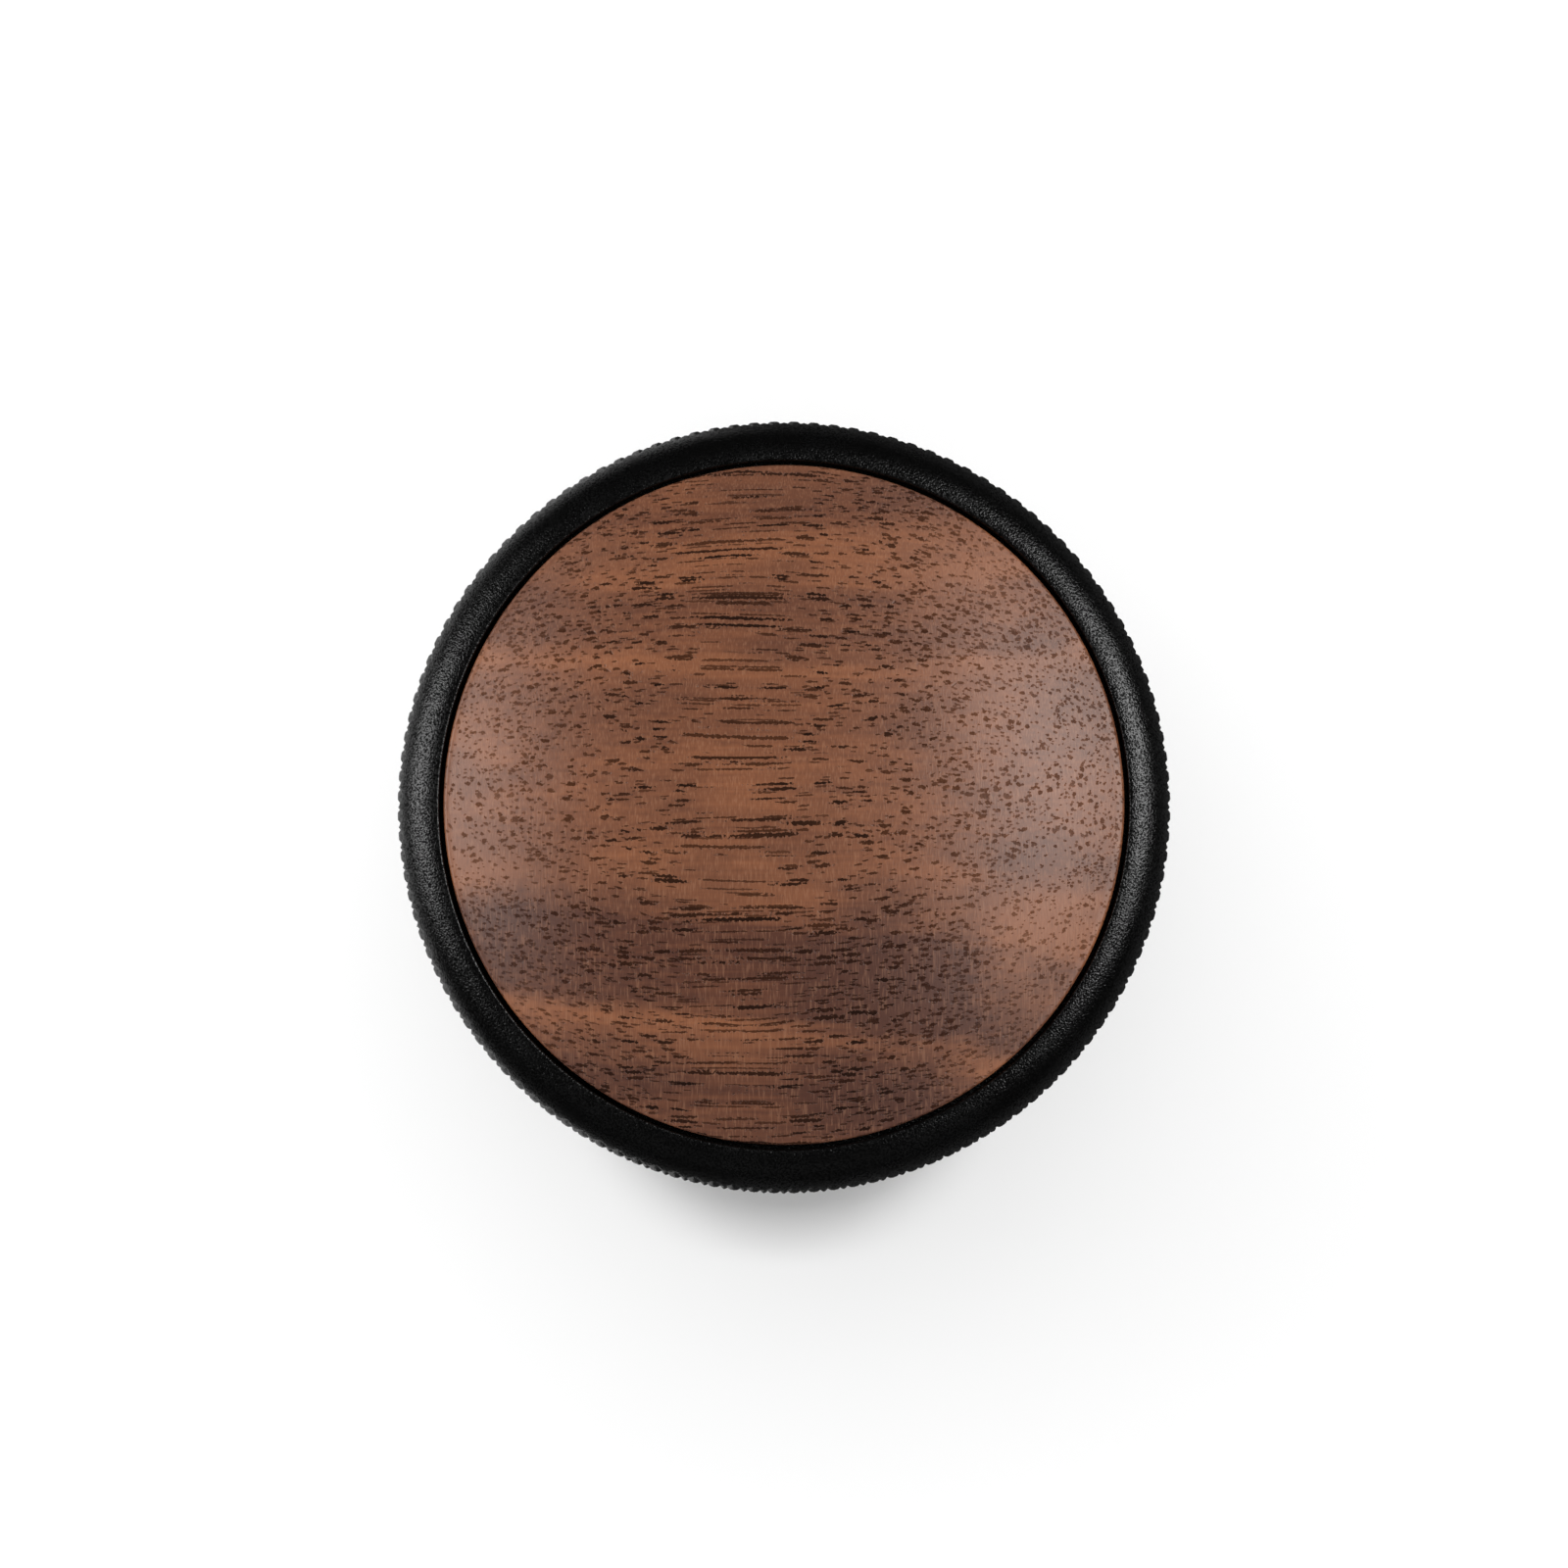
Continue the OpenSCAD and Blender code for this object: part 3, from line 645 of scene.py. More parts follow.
    def surface(self, g: Graph) -> dict[str, object]:
        """Rings, then clouds and rays over them, then pores cut into all.

        Args:
            g: the tree.

        Returns:
            What feeds the shader.
        """
        place = g.millimetres()
        x, y, z = g.add("SeparateXYZ", (place,)).outputs
        at = Spot(place, x, y, z, g.add("Math", (y, g.drift(place, self.stray)), **PLUS))
        growth, ray, cloud = self.growth(g, at), self.rays(g, at), g.grain(place, self.cloud)
        pore = self.pores(g, at, self.crowd(g, at, growth))
        tone = g.add("Math", (growth, g.drift(place, self.fibre)), **PLUS)
        wood = g.add("Mix", (tone, from_srgb(self.late), from_srgb(self.early)), **COLOURS)
        for pattern, share, colour in (
            (cloud, self.cloud_share, self.tint),
            (ray, self.pale_share, self.pale_ray),
            (ray, self.dark_share, self.dark_ray),
        ):
            laid = g.add("MapRange", (pattern, *share), **SMOOTHLY)
            wood = g.add("Mix", (laid, wood, from_srgb(colour)), **COLOURS)
        cover = g.add("Math", (pore, self.pore_cover), **TIMES)
        ray_relief = g.add("Math", (ray, self.ray_height), **TIMES)
        relief = g.add("Math", (ray_relief, pore), **MINUS)
        spaces = {"convert_from": "OBJECT", "convert_to": "WORLD", "vector_type": "VECTOR"}
        return {
            "Base Color": g.add("Mix", (cover, wood, from_srgb(self.pore)), **COLOURS),
            "Roughness": g.add("MapRange", (pore, *self.roughness), **SMOOTHLY),
            "Specular IOR Level": g.add("MapRange", (pore, *self.shine), **SMOOTHLY),
            "Anisotropic": self.sheen_stretch,
            "Tangent": g.add("VectorTransform", ((0, 1, 0),), **spaces),
            "Normal": g.add("Bump", {"Distance": self.pore_depth * MM, "Height": relief}),
        }


FINISHES: dict[Slot, Finish] = {
    Slot.STAINLESS: TurnedSteel(),
    Slot.ANODISED: BlackAnodised(),
    Slot.SPRING: DRAWN_WIRE,
    Slot.ZINC: BRIGHT_ZINC,
    Slot.ACETAL: TURNED_ACETAL,
    Slot.NITRILE: MOULDED_NITRILE,
    Slot.ADHESIVE: CURED_ADHESIVE,
    Slot.WALNUT: OiledWalnut(),
}
BARE_METAL = (Slot.STAINLESS, Slot.SPRING, Slot.ZINC)


class Palette:
    """The finishes as materials, each made once."""

    def __init__(self) -> None:
        """Makes every material."""
        self.made = {slot: finish.material() for slot, finish in FINISHES.items()}

    def dress(self, piece: Object, slot: Slot) -> None:
        """Gives the whole piece the slot's material."""
        piece.data.materials.clear()
        piece.data.materials.append(self.made[slot])


# ---- mesh tools

# A profile's point this close to the axis, in millimetres, lies on it
ON_AXIS = 1e-9
# Steps round a broad rounding, and round one that only takes an edge off
BROAD_STEPS = 16
EDGE_STEPS = 6
# The most of a side that the rounding of its corner takes
SIDE_SHARE = 0.45


def eased(points: list[Pair], radius: float, steps: int = 3) -> np.ndarray:
    """Rounds the corners of a closed turned profile, as deburring does.

    Each corner is replaced by a curve that starts and ends the same short way along its two sides
    and bends towards the corner (a quadratic curve with the corner as its control point). A corner
    on the axis stays sharp, and a corner on a short side is rounded by less than half of it.

    Args:
        points: corners as (radius, height).
        radius: how far the rounding reaches along each side.
        steps: segments in each rounded corner.

    Returns:
        The points of the rounded profile, one (radius, height) a row.
    """
    corners = np.array(points, float)
    made: list[np.ndarray] = []
    for before, here, after in zip(np.roll(corners, 1, 0), corners, np.roll(corners, -1, 0)):
        if here[0] < ON_AXIS:
            made.append(here[None])
            continue
        back, ahead = before - here, after - here
        sides = np.linalg.norm(back), np.linalg.norm(ahead)
        reach = min(radius, SIDE_SHARE * min(sides))
        start, end = here + back / sides[0] * reach, here + ahead / sides[1] * reach
        t = np.linspace(0, 1, steps + 1)[:, None]
        made.append((1 - t) ** 2 * start + 2 * t * (1 - t) * here + t**2 * end)
    return np.concatenate(made)


def arc(centre: Pair, radius: float, start: float, end: float, steps: int) -> list:
    """Points of an arc in a profile: its centre, and its radius times cosine and sine.

    Args:
        centre: its middle, as (radius, height).
        radius: its own radius.
        start: angle of the first point, in degrees.
        end: angle of the last point.
        steps: segments.

    Returns:
        The points as (radius, height).
    """
    angles = np.radians(np.linspace(start, end, steps + 1))
    rows = np.stack([centre[0] + radius * np.cos(angles), centre[1] + radius * np.sin(angles)], 1)
    return [tuple(row) for row in rows]


def about_axis(radii: np.ndarray, heights: np.ndarray) -> np.ndarray:
    """Points on rings about Z, at even angles: radius times cosine, radius times sine, and height.

    Args:
        radii: one line a ring, with a radius for each step round the axis.
        heights: one a ring.

    Returns:
        The places, one a row.
    """
    steps = radii.shape[1]
    angles = 2 * math.pi * np.arange(steps) / steps
    lifted = np.repeat(heights[:, None], steps, 1)
    return np.stack([radii * np.cos(angles), radii * np.sin(angles), lifted], -1).reshape(-1, 3)


def lattice_faces(rows: int, columns: int, close_rows: bool) -> np.ndarray:
    """Quads of a grid that closes round its columns, facing outwards for rows that run upwards.

    Args:
        rows: lines of points.
        columns: points in each line.
        close_rows: whether the last line joins the first.

    Returns:
        Four point numbers for each quad.
    """
    lines = rows if close_rows else rows - 1
    i, j = np.meshgrid(np.arange(lines), np.arange(columns), indexing="ij")
    up, right = (i + 1) % rows, (j + 1) % columns
    corners = [i * columns + j, i * columns + right, up * columns + right, up * columns + j]
    return np.stack(corners, -1).reshape(-1, 4)


def make_piece(name: str, points: np.ndarray, faces: list, crease: float = 40.0) -> Object:
    """Makes an object with smooth shading between its creases.

    Args:
        name: the piece's name.
        points: places in millimetres, one a row.
        faces: point numbers of each face.
        crease: angle in degrees beyond which an edge stays sharp.

    Returns:
        The new object, in the scene.
    """
    mesh = bpy.data.meshes.new(name)
    mesh.from_pydata(points * MM, [], faces)
    mesh.validate()
    mesh.shade_smooth()
    mesh.set_sharp_from_angle(angle=math.radians(crease))
    piece = bpy.data.objects.new(name, mesh)
    bpy.context.scene.collection.objects.link(piece)
    return piece


def revolve(name: str, profile: np.ndarray, columns: int = 384) -> Object:
    """Turns a closed profile about Z.

    The profile runs anticlockwise seen with the radius to the right, so that its faces look
    outwards. Points on the axis become single poles, and each pole's quads become triangles.

    Args:
        name: the piece's name.
        profile: points as (radius, height).
        columns: steps round the axis.

    Returns:
        The new object.
    """
    points = about_axis(np.repeat(profile[:, :1], columns, 1), profile[:, 1])
    number = np.arange(len(points)).reshape(len(profile), columns)
    on_axis = profile[:, 0] < ON_AXIS
    number[on_axis] = number[on_axis][:, :1]
    quads = number.reshape(-1)[lattice_faces(len(profile), columns, close_rows=True)]
    faces = [list(dict.fromkeys(quad)) for quad in quads.tolist()]
    used = np.unique(quads)
    renumber = np.zeros(len(points), int)
    renumber[used] = np.arange(len(used))
    kept = [renumber[face].tolist() for face in faces if len(face) > 2]
    return make_piece(name, points[used], kept)


# ---- sub-assemblies


@dataclass(frozen=True)
class Frame:
    """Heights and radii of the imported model, in millimetres."""

    def low(self, node: str) -> float:
        """Lowest height of a CAD node."""
        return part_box(node)[0][2] / MM

    def high(self, node: str) -> float:
        """Highest height of a CAD node."""
        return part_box(node)[1][2] / MM

    def radius(self, node: str) -> float:
        """Radius of a CAD node that is round about Z."""
        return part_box(node)[1][0] / MM


@dataclass(frozen=True)
class Cap:
    """The knurled cap: a turned body, and the rim that carries the knurl."""

    frame: Frame
    palette: Palette
    teeth: int = 120
    half_row: float = 1.5
    half_rows: int = 7
    knurl_depth: float = 0.65
    knurl_flat: float = 0.05
    run_out: float = 0.2
    rim_round: float = 3.7
    rim_edge: float = 0.2
    rim_steps: int = 15
    relief_half: float = 0.4
    groove_extra: float = 0.2
    seam_inset: float = 1.2
    seam_drop: float = 1.0
    skirt_inset: float = 0.3
    skirt_round: float = 2.2
    skirt_bore: float = 29.8
    bevel: float = 0.3
    boss_radius: float = 26.7
    thread_gap: float = 0.05
    ceiling_gap: float = 0.4
    deburr: float = 0.06
    fineness: int = 6
    least_step: float = 0.02
    softness: float = 0.02
    crease: float = 50.0
    # Keeps a line's own number safe from rounding, in half rows
    guard: float = 1e-6

    @property
    def grip(self) -> float:
        """Radius over the knurl."""
        return self.frame.radius("cap_shell")

    @property
    def rim_top(self) -> float:
        """Height of the rim."""
        return self.frame.high("cap_shell")

    @property
    def recess(self) -> Pair:
        """Radius of the inlay's recess and the height of its floor."""
        return self.grip - self.rim_round, self.frame.low("inlay_adhesive")

    @property
    def knurl_start(self) -> float:
        """Height of the knurl's lowest line, in the middle of the relief groove."""
        last = self.rim_top - self.rim_round + self.relief_half
        return last - (self.half_rows - 1) * self.half_row

    @property
    def groove(self) -> float:
        """Radius at the bottom of the relief groove."""
        return self.grip - self.knurl_depth - self.groove_extra

    @property
    def seam(self) -> float:
        """Radius of the hidden face between rim and body, inside the metal."""
        return self.groove - self.seam_inset

    def knurl(self, m: np.ndarray, n: np.ndarray) -> np.ndarray:
        """Radius of the knurl's surface at corner place m round the cap and line place n up it.

        Two families of V grooves cross. The distance from each family's nearest groove, from 0 in
        a groove to 1 halfway to the next, is a triangle wave of m + n and of m - n. The surface is
        as high as the nearer groove allows, so it rises to a point where both are 1. A soft
        minimum rounds its creases as blasting does. Above the last full line the tool lifts off.

        Args:
            m: corner places, in half teeth.
            n: line places, in half rows.

        Returns:
            The radii.
        """
        wave = [1 - np.abs((w % 2) - 1) for w in (m + n, m - n)]
        k = self.softness / self.knurl_depth
        rise = soft_minimum(wave[0], wave[1], k)
        root = self.grip - self.knurl_depth
        lift = self.run_out * np.clip(n - (self.half_rows - 2), 0, 1)
        return root + (self.knurl_depth + self.knurl_flat) * rise + lift

    def wall(self, z: np.ndarray) -> np.ndarray:
        """Radius of the blank that is knurled: a cylinder, then the rim's quarter round."""
        above = np.clip(z - (self.rim_top - self.rim_round), 0, self.rim_round)
        return self.grip - self.rim_round + np.sqrt(self.rim_round**2 - above**2)

    def rim_rows(self) -> tuple[np.ndarray, np.ndarray]:
        """Heights of the lines up the knurled wall, and points of the rim's smooth inner part.

        Returns:
            The heights in the knurled band, and (radius, height) rows that follow over the rim's
            top, down the recess's wall and back through the metal to the groove.
        """
        lines = np.arange(self.half_rows * self.fineness + 1) / self.fineness
        start = self.knurl_start + self.relief_half
        band = self.knurl_start + lines * self.half_row
        band = np.concatenate([[start], band[band > start + self.least_step]])
        centre = (self.grip - self.rim_round, self.rim_top - self.rim_round)
        first = math.degrees(math.asin((band[-1] - centre[1]) / self.rim_round))
        last = math.degrees(math.acos(self.rim_edge / self.rim_round))
        over = arc(centre, self.rim_round, first, last, self.rim_steps)[1:]
        inner, floor = self.recess
        corner = (inner + self.rim_edge, over[-1][1] - self.rim_edge)
        down = arc(corner, self.rim_edge, 90, 180, EDGE_STEPS)[1:]
        back = [(inner, floor), (self.seam, floor - self.seam_drop), (self.seam, self.knurl_start)]
        under = [(self.groove, self.knurl_start), (self.groove, start)]
        return band, np.array(over + down + back + under)

    def build_rim(self) -> Object:
        """The knurled rim, whose quads are parted along the grooves.

        Returns:
            The piece.
        """
        band, rest = self.rim_rows()
        columns = 2 * self.teeth * self.fineness
        m = np.arange(columns) / self.fineness
        n = (band - self.knurl_start) / self.half_row
        cut = soft_minimum(
            self.wall(band)[:, None] + 0 * m, self.knurl(m[None, :], n[:, None]), self.softness
        )
        radii = np.concatenate([cut, np.repeat(rest[:, :1], columns, 1)])
        heights = np.concatenate([band, rest[:, 1]])
        quads = lattice_faces(len(heights), columns, close_rows=True)
        row, column = np.divmod(np.arange(len(quads)), columns)
        step = np.minimum(row, len(band) - 1)
        cell = np.floor(m[column]) + np.floor(n[step] + self.guard)
        rising = (cell % 2 == 0)[:, None]
        a, b, c, d = quads.T
        one = np.where(rising, np.stack([a, b, c], 1), np.stack([a, b, d], 1))
        two = np.where(rising, np.stack([a, c, d], 1), np.stack([d, b, c], 1))
        faces = np.concatenate([one, two]).tolist()
        return make_piece("cap_knurled_rim", about_axis(radii, heights), faces, self.crease)

    def build_body(self) -> Object:
        """Skirt, plate and threaded boss as one turned piece.

        Returns:
            The piece.
        """
        frame = self.frame
        skirt = frame.low("cap_shell")
        outside = self.grip - self.skirt_inset
        bore, bevel = self.skirt_bore, self.bevel
        plate = frame.high("crown")
        boss_foot, boss_in = frame.low("crown"), frame.radius("crown") + self.thread_gap
        ceiling = plate + self.ceiling_gap
        inner, floor = self.recess
        groove_z = self.knurl_start - self.relief_half
        corner = (outside - self.skirt_round, skirt + self.skirt_round)
        points = [
            (bore, skirt + bevel),
            (bore + bevel, skirt),
            *arc(corner, self.skirt_round, 270, 360, BROAD_STEPS),
            (outside, groove_z - bevel),
            (self.groove + bevel, groove_z - bevel),
            (self.groove, groove_z),
            (self.groove, self.knurl_start),
            (self.seam, self.knurl_start),
            (self.seam, floor - self.seam_drop),
            (inner, floor),
            (0, floor),
            (0, plate),
            (boss_in, plate),
            (boss_in, boss_foot),
            (self.boss_radius, boss_foot),
            (self.boss_radius, ceiling),
            (bore, ceiling),
        ]
        return revolve("cap_body", eased(points, self.deburr))

    def build(self) -> list[Object]:
        """Makes both pieces, which ride on the cap and stand for its CAD node.

        Returns:
            The rim and the body.
        """
        pieces = [self.build_rim(), self.build_body()]
        for piece in pieces:
            self.palette.dress(piece, Slot.ANODISED)
            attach(piece, "cap")
            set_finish(piece, Slot.ANODISED.value)
            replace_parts(piece, "cap_shell")
        return pieces


def soft_minimum(a: np.ndarray, b: np.ndarray, width: float) -> np.ndarray:
    """The smaller of two values, with the crease between them rounded over a width."""
    mix = np.clip(0.5 + 0.5 * (b - a) / width, 0, 1)
    return b * (1 - mix) + a * mix - width * mix * (1 - mix)


@dataclass(frozen=True)
class Inlay:
    """The domed walnut disc in the cap's recess."""

    frame: Frame
    palette: Palette
    edge_height: float = 2.4
    ease: float = 0.35
    foot_bevel: float = 0.1
    steepening: float = 0.2
    rows: int = 72

    def build(self) -> Object:
        """Turns the dome. Its rise above the edge falls with the square of the distance from the
        middle, and by the share that steepens its edge with the fourth power.

        Returns:
            The disc.
        """
        bottom, top = self.frame.low("walnut_inlay"), self.frame.high("walnut_inlay")
        radius = self.frame.radius("walnut_inlay")
        edge = bottom + self.edge_height
        s = np.linspace(1 - self.ease / radius, 0, self.rows)
        rise = (top - edge) * (1 - (1 - self.steepening) * s**2 - self.steepening * s**4)
        shoulder = edge + rise[0]
        ease = arc((radius - self.ease, shoulder - self.ease), self.ease, 0, 90, EDGE_STEPS)[:-1]
        bevel = self.foot_bevel
        foot = [(0.0, bottom), (radius - bevel, bottom), (radius, bottom + bevel)]
        profile = [*foot, *ease, *zip(s * radius, edge + rise)]
        piece = revolve("walnut_dome", np.array(profile))
        self.palette.dress(piece, Slot.WALNUT)
        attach(piece, "cap")
        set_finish(piece, Slot.WALNUT.value)
        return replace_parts(piece, "walnut_inlay")


@dataclass(frozen=True)
class Base:
    """The turned stainless base with its land, relief and tapped hole."""

    frame: Frame
    palette: Palette
    land: float = 5.5
    edge: float = 0.4
    top_radius: float = 26.5
    relief_share: float = 0.8
    deburr: float = 0.08
    spigot: Pair = (11.0, 1.0)
    o_ring: Triple = (13.03, 15.03, 1.2)
    bolt: Pair = (3.0, 3.0)

    def build(self) -> Object:
        """Turns the base from its face to the seats on its top.

        Returns:
            The base.
        """
        radius, top = self.frame.radius("tamp_base"), self.frame.high("tamp_base")
        relief = min(top - self.land, radius - self.top_radius) * self.relief_share
        foot = self.top_radius + relief
        points = [
            (0, 0),
            (radius - self.edge, 0),
            (radius, self.edge),
            (radius, self.land),
            *arc((foot, self.land + relief), relief, 270, 180, BROAD_STEPS),
            (self.top_radius, top),
            (self.o_ring[1], top),
            (self.o_ring[1], top - self.o_ring[2]),
            (self.o_ring[0], top - self.o_ring[2]),
            (self.o_ring[0], top),
            (self.spigot[0], top),
            (self.spigot[0], top - self.spigot[1]),
            (self.bolt[0], top - self.spigot[1]),
            (self.bolt[0], self.bolt[1]),
            (0, self.bolt[1]),
        ]
        piece = revolve("base_turned", eased(points, self.deburr))
        self.palette.dress(piece, Slot.STAINLESS)
        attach(piece, "base")
        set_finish(piece, Slot.STAINLESS.value)
        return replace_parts(piece, "tamp_base")


@dataclass(frozen=True)
class Coil:
    """Size of one compression spring with closed and ground ends."""

    radius: float
    wire: float
    turns: float
    length: float
    steps: int = 56
    sides: int = 14
    closed_rise: float = 1.04
    ground_tip: float = 0.15

    def mesh(self) -> tuple[np.ndarray, list]:
        """Sweeps the wire round the coil, standing on z = 0.

        The centre line starts a ground tip above the end, rises by little more than one wire over
        the first and last turn, and evenly between them. Points that would pass an end are laid
        on its plane, which is what grinding does.

        Returns:
            The points in millimetres and the faces.
        """
        rings = round(self.turns * self.steps) + 1
        t = np.linspace(0, self.turns, rings)
        closed, tip = self.closed_rise * self.wire, self.ground_tip * self.wire
        rise = (self.length - 2 * (tip + closed)) / (self.turns - 2)
        known = [0, 1, self.turns - 1, self.turns]
        centre = np.interp(t, known, np.cumsum([tip, closed, rise * (self.turns - 2), closed]))
        a = 2 * math.pi * t[:, None]
        b = 2 * math.pi * (np.arange(self.sides)[None, :] + 0.5) / self.sides
        r = self.radius + self.wire / 2 * np.cos(b)
        z = np.clip(centre[:, None] + self.wire / 2 * np.sin(b), 0, self.length)
        points = np.stack([r * np.cos(a), r * np.sin(a), z], -1).reshape(-1, 3)
        walls = lattice_faces(rings, self.sides, close_rows=False)
        outwards = np.roll(walls[:, ::-1], 1, axis=1).tolist()
        first = list(range(self.sides))
        last = [len(points) - 1 - number for number in first]
        return points, [*outwards, first, last]


@dataclass(frozen=True)
class Springs:
    """The main spring and the three collar springs."""

    frame: Frame
    palette: Palette
    main_radius: float = 10.6
    main_wire: float = 2.8
    main_turns: float = 6
    collar_count: int = 3
    collar_radius: float = 2.1
    collar_wire: float = 0.4
    collar_turns: float = 9
    collar_steps: int = 32
    collar_sides: int = 8
    press: float = 5.0
    lift: float = 8.0

    def dress(self, piece: Object, node: str) -> Object:
        """Gives a spring its finish and its body.

        Args:
            piece: the spring.
            node: the CAD node that it stands for.

        Returns:
            The same spring.
        """
        self.palette.dress(piece, Slot.SPRING)
        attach(piece, "base")
        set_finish(piece, Slot.SPRING.value)
        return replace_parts(piece, node)

    def build_main(self) -> Object:
        """The main spring, which stands on the lower seat.

        Returns:
            The spring.
        """
        low, high = self.frame.low("main_spring"), self.frame.high("main_spring")
        points, faces = Coil(self.main_radius, self.main_wire, self.main_turns, high - low).mesh()
        piece = make_piece("main_spring_coil", points + (0, 0, low), faces)
        self.dress(piece, "main_spring")
        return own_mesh(piece)

    def build_collar(self) -> Object:
        """The collar springs, which hang from the gland ring.

        Returns:
            All of them as one piece.
        """
        low, high = self.frame.low("collar_springs"), self.frame.high("collar_springs")
        radius, wire, turns = self.collar_radius, self.collar_wire, self.collar_turns
        coil = Coil(radius, wire, turns, high - low, self.collar_steps, self.collar_sides)
        points, faces = coil.mesh()
        out = self.frame.radius("collar_springs") - radius - wire / 2
        placed, all_faces = [], []
        for i in range(self.collar_count):
            turn = 2 * math.pi * i / self.collar_count
            c, s = math.cos(turn), math.sin(turn)
            moved = points + (out, 0, low)
            placed.append(moved @ np.array([[c, s, 0], [-s, c, 0], [0, 0, 1]]))
            all_faces += [[p + i * len(points) for p in face] for face in faces]
        piece = make_piece("collar_spring_coils", np.concatenate(placed), all_faces)
        self.dress(piece, "collar_springs")
        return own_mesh(piece)


@dataclass(frozen=True)
class SoftBox:
    """A rectangular soft light at the boxes' reach from the cap: where it hangs, its width and
    height in millimetres, and its power in watts."""

    name: str
    azimuth: float
    elevation: float
    size: Pair
    power: float


@dataclass(frozen=True)
class Studio:
    """A pale floor, soft boxes at the sides and a camera almost straight above."""

    distance: float = 700.0
    tilt: float = 3.2
    view_width: float = 134.77
    # How near and how far the camera sees, in metres
    sight: Pair = (0.01, 50.0)
    aim: Triple = (0.0, 2.08, 39.0)
    cap_middle: Triple = (0.0, 0.0, 40.0)
    reach: float = 900.0
    surround: float = 0.6
    floor_half: float = 40000.0
    side_boxes: tuple[SoftBox, ...] = (
        SoftBox("box_left", 172, 30, (400, 750), 3.5),
        SoftBox("box_right", 14, 48, (480, 540), 3.8),
        SoftBox("card_front", -90, 35, (900, 700), 0.12),
    )
    strip_back: SoftBox = SoftBox("strip_back", 108, 38, (3000, 500), 8.2)
    box_back: SoftBox = SoftBox("box_back", 90, 63, (150, 100), 5.6)
    # The small box over the floor in front: its place, width and power
    front: tuple[Triple, float, float] = ((0, -110, 120), 120, 0.04)
    # Glows on the floor: name, place, width and power
    glows: tuple[tuple[str, Pair, float, float], ...] = (
        ("floor_glow", (0, 0), 1200, 0.35),
        ("floor_glow_left", (-130, 50), 230, 0.09),
    )
    # Height of a light that lies on the floor
    lying: float = 0.3
    # Panels over and under the bare metal: width and power
    panels: Pair = (2400, 9.0)

    def build_camera(self) -> None:
        """A long lens that looks down, a little from the front."""
        data = bpy.data.cameras.new("camera")
        data.lens = data.sensor_width * self.distance / self.view_width
        data.clip_start, data.clip_end = self.sight
        camera = bpy.data.objects.new("camera", data)
        lean = math.radians(self.tilt)
        back = Vector((0, -math.sin(lean), math.cos(lean)))
        camera.location = (Vector(self.aim) + back * self.distance) * MM
        camera.rotation_euler = (-back).to_track_quat("-Z", "Y").to_euler()
        bpy.context.scene.collection.objects.link(camera)
        bpy.context.scene.camera = camera

    def build_floor(self) -> Object:
        """A matt floor under the tamping face, so wide that its edge stays out of a level view.

        Returns:
            The floor.
        """
        half = self.floor_half * MM
        corners = [(-half, -half, 0), (half, -half, 0), (half, half, 0), (-half, half, 0)]
        mesh = bpy.data.meshes.new("floor")
        mesh.from_pydata(corners, [], [(0, 1, 2, 3)])
        floor = bpy.data.objects.new("floor", mesh)
        mesh.materials.append(MattCard().material())
        floor.visible_glossy = False
        bpy.context.scene.collection.objects.link(floor)
        return floor

    def from_cap(self, azimuth: float, elevation: float) -> Vector:
        """A place at the boxes' reach from the cap.

        Args:
            azimuth: degrees from +X towards +Y.
            elevation: degrees above the level.

        Returns:
            The place, in millimetres.
        """
        a, e = math.radians(azimuth), math.radians(elevation)
        way = Vector((math.cos(a) * math.cos(e), math.sin(a) * math.cos(e), math.sin(e)))
        return Vector(self.cap_middle) + way * self.reach

    def build_light(
        self, name: str, place: Vector, target: Vector, size: Pair, power: float
    ) -> Object:
        """A rectangular soft light.

        Args:
            name: the light's name.
            place: its middle, in millimetres.
            target: the point that it faces.
            size: its width and height, in millimetres.
            power: in watts.

        Returns:
            The light.
        """
        data = bpy.data.lights.new(name, "AREA")
        data.shape = "RECTANGLE"
        data.size, data.size_y = size[0] * MM, size[1] * MM
        data.energy = power
        light = bpy.data.objects.new(name, data)
        light.location = place * MM
        light.rotation_euler = (target - place).to_track_quat("-Z", "Y").to_euler()
        light.visible_camera = False
        bpy.context.scene.collection.objects.link(light)
        return light

    def hang(self, box: SoftBox, target: Vector) -> Object:
        """Puts up a soft box that faces the target."""
        place = self.from_cap(box.azimuth, box.elevation)
        return self.build_light(box.name, place, target, box.size, box.power)

    def links(self, name: str, pieces: list[Object], state: str) -> bpy.types.Collection:
        """A collection for light linking.

        Args:
            name: the collection's name.
            pieces: what it holds.
            state: INCLUDE where a light reaches these pieces only, EXCLUDE where it spares them.

        Returns:
            The new collection.
        """
        made = bpy.data.collections.new(name)
        for piece in pieces:
            made.objects.link(piece)
        for entry in made.collection_objects:
            entry.light_linking.link_state = state
        return made

    def build_boxes(self, floor: Object, metal: list[Object]) -> None:
        """The lights of the part. All leave the floor out, so it shows no shadow of theirs, and the
        glows that lie on it leave out the bare metal too, which would mirror their edges.

        Args:
            floor: the floor.
            metal: the pieces of bare metal.
        """
        part = self.links("all_but_the_floor", [floor], "EXCLUDE")
        dull = self.links("all_but_floor_and_metal", [floor, *metal], "EXCLUDE")
        cap = Vector(self.cap_middle)
        for box in self.side_boxes:
            self.hang(box, cap).light_linking.receiver_collection = part
        for name, (x, y), width, power in self.glows:
            place = Vector((x, y, self.lying))
            glow = self.build_light(name, place, place + Vector((0, 0, 1)), (width, width), power)
            glow.visible_diffuse = False
            glow.light_linking.receiver_collection = dull

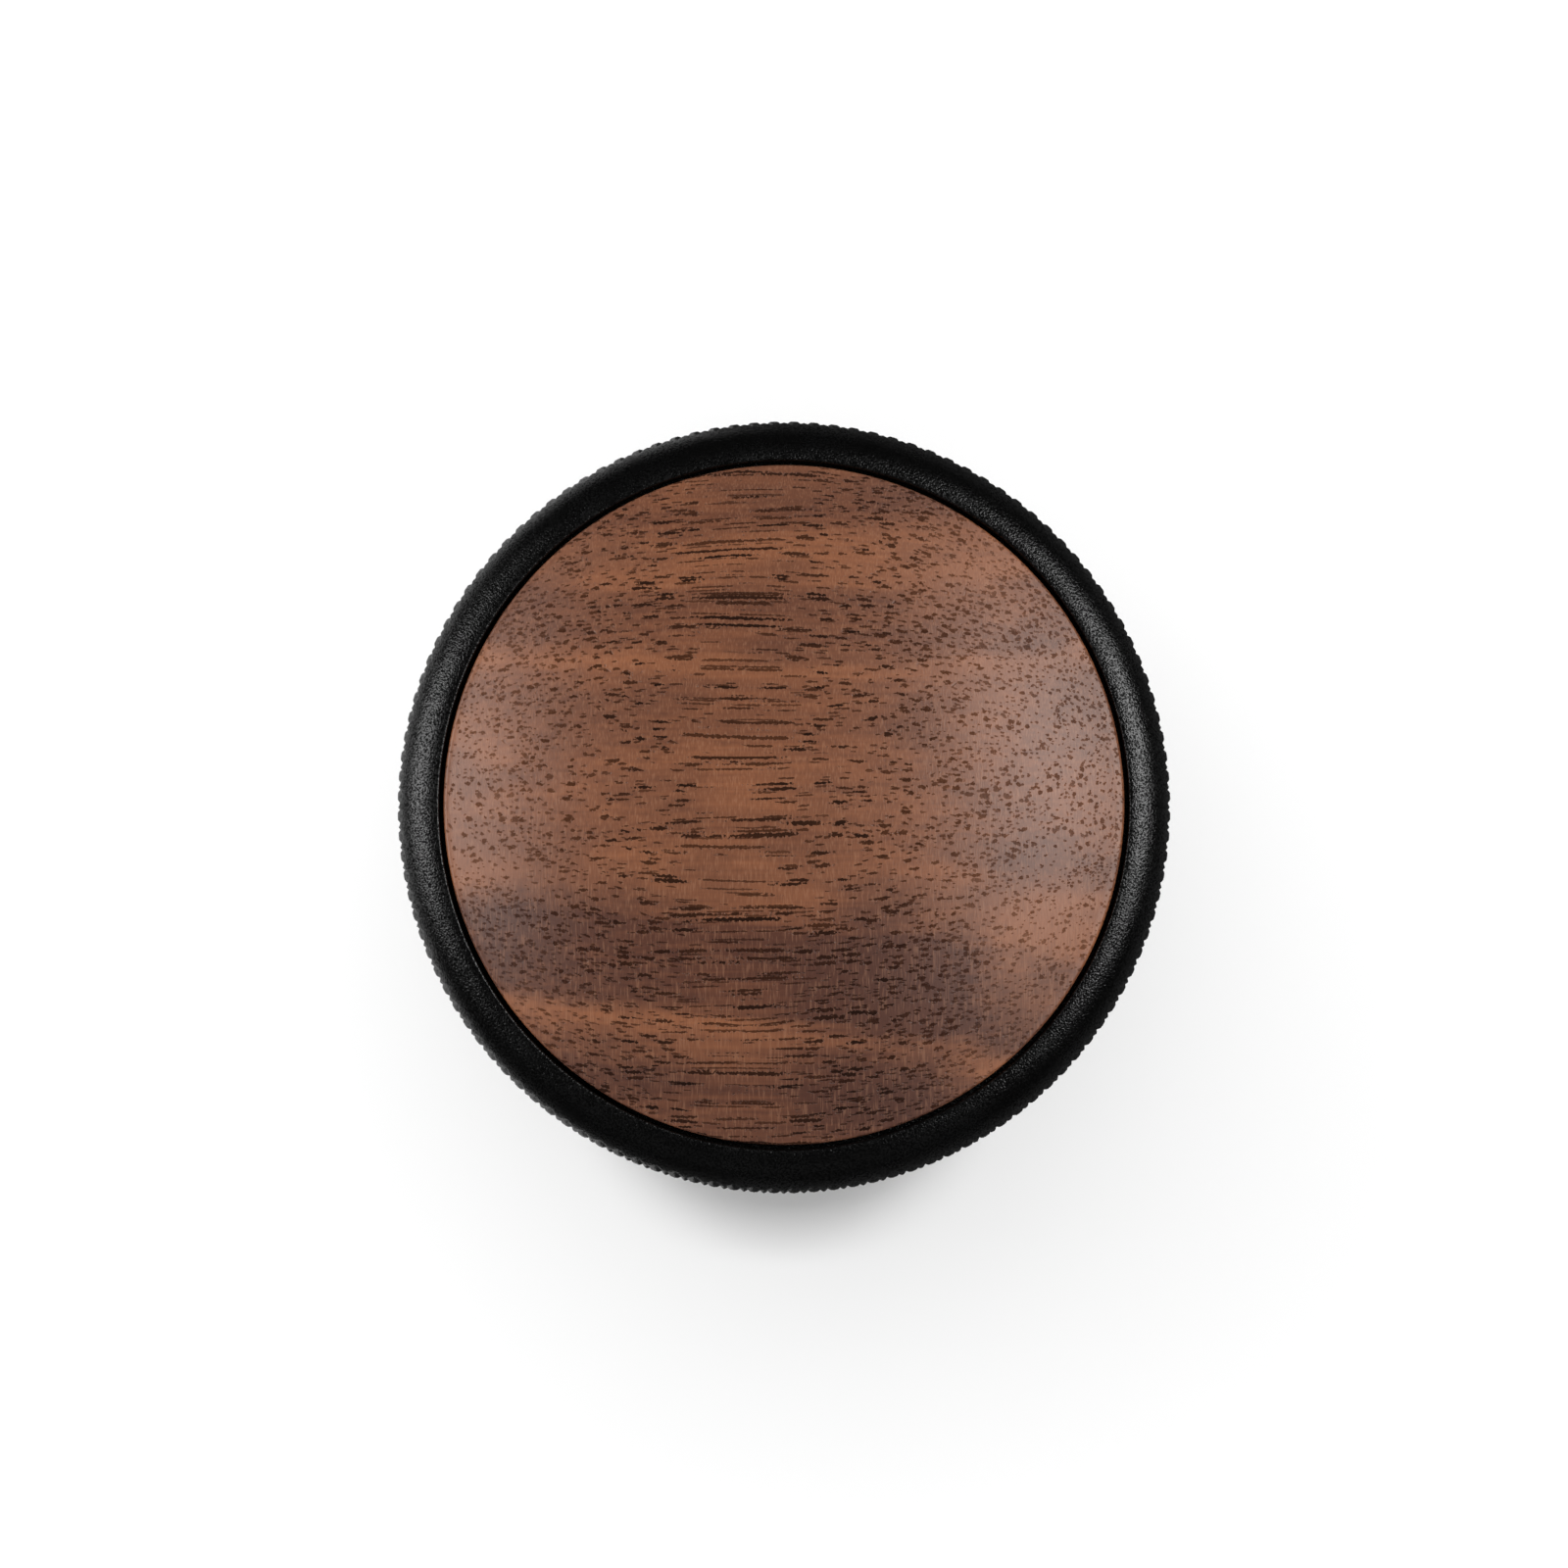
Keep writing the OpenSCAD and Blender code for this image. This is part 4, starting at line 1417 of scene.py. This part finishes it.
    def build_floor_lights(self, floor: Object, stem: Object) -> None:
        """Lights that whiten the floor and leave the part as it is.

        The whole part shades the floor from the strip, which gives a faint broad shadow. Only the
        stem shades it from the box at the back, which gives the short dark shadow in front, and
        from the small box that lifts the floor there.

        Args:
            floor: the floor.
            stem: the piece that shades the floor from the box.
        """
        floor_alone = self.links("floor_alone", [floor], "INCLUDE")
        (x, y, z), width, power = self.front
        foot = Vector((x, y, 0))
        strip, back = self.hang(self.strip_back, Vector()), self.hang(self.box_back, Vector())
        front = self.build_light("box_front", Vector((x, y, z)), foot, (width, width), power)
        for light in (strip, back, front):
            light.light_linking.receiver_collection = floor_alone
        stem_alone = self.links("stem_alone", [stem], "INCLUDE")
        for light in (back, front):
            light.light_linking.blocker_collection = stem_alone

    def build_metal_room(self, metal: list[Object]) -> None:
        """Gives the bare metal a pale room to mirror, one panel over it and one on the floor.

        Black anodising would show such a room as a grey haze, so the panels light the metal only.

        Args:
            metal: the pieces of bare metal.
        """
        receivers = self.links("bare_metal", metal, "INCLUDE")
        middle = Vector(self.cap_middle)
        width, power = self.panels
        for name, height in (("panel_above", self.reach), ("panel_below", self.lying)):
            place = Vector((0, 0, height))
            panel = self.build_light(name, place, middle, (width, width), power)
            panel.light_linking.receiver_collection = receivers

    def build_world(self) -> None:
        """An even pale surround that lights the scene without being mirrored in it."""
        world = bpy.data.worlds.new("surround")
        world.use_nodes = True
        g = Graph(world.node_tree)
        g.add("OutputWorld", (g.add("Background", (from_srgb("ffffff"), self.surround)),))
        bpy.context.scene.world = world
        world.cycles_visibility.glossy = False

    def build(self, metal: list[Object], stem: Object) -> None:
        """Sets up floor, camera and lights.

        Args:
            metal: the pieces of bare metal, which get a pale room to mirror.
            stem: the piece whose shadow lies in front.
        """
        bpy.context.scene.view_settings.view_transform = "Standard"
        self.build_camera()
        floor = self.build_floor()
        self.build_world()
        self.build_boxes(floor, metal)
        self.build_floor_lights(floor, stem)
        self.build_metal_room(metal)


def dress_cad(frame: dict, palette: Palette) -> list[Object]:
    """Gives every CAD node the finish of its slot.

    Args:
        palette: the materials.

    Returns:
        The nodes of bare metal.
    """
    metal = []
    for part in frame["record"]["subparts"]:
        node, slot = frame["nodes"][part["node"]], Slot(part["material_slot"])
        palette.dress(node, slot)
        if slot in BARE_METAL:
            metal.append(node)
    return metal


def main() -> None:
    """Loads the frame, dresses it, adds the finer pieces and sets up the studio."""
    logging.basicConfig(level=logging.INFO, format="%(name)s: %(message)s")
    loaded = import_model()
    palette, frame = Palette(), Frame()
    metal = dress_cad(loaded, palette)

    springs = Springs(frame, palette)
    pieces = [
        *Cap(frame, palette).build(),
        Inlay(frame, palette).build(),
        Base(frame, palette).build(),
        springs.build_main(),
        springs.build_collar(),
    ]
    for piece in pieces:
        log.info("%s: %d faces", piece.name, len(piece.data.polygons))
    metal += [piece for piece in pieces if Slot(piece["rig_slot"]) in BARE_METAL]
    Studio().build(metal, loaded["nodes"]["plunger"])


if __name__ == "__main__":
    main()
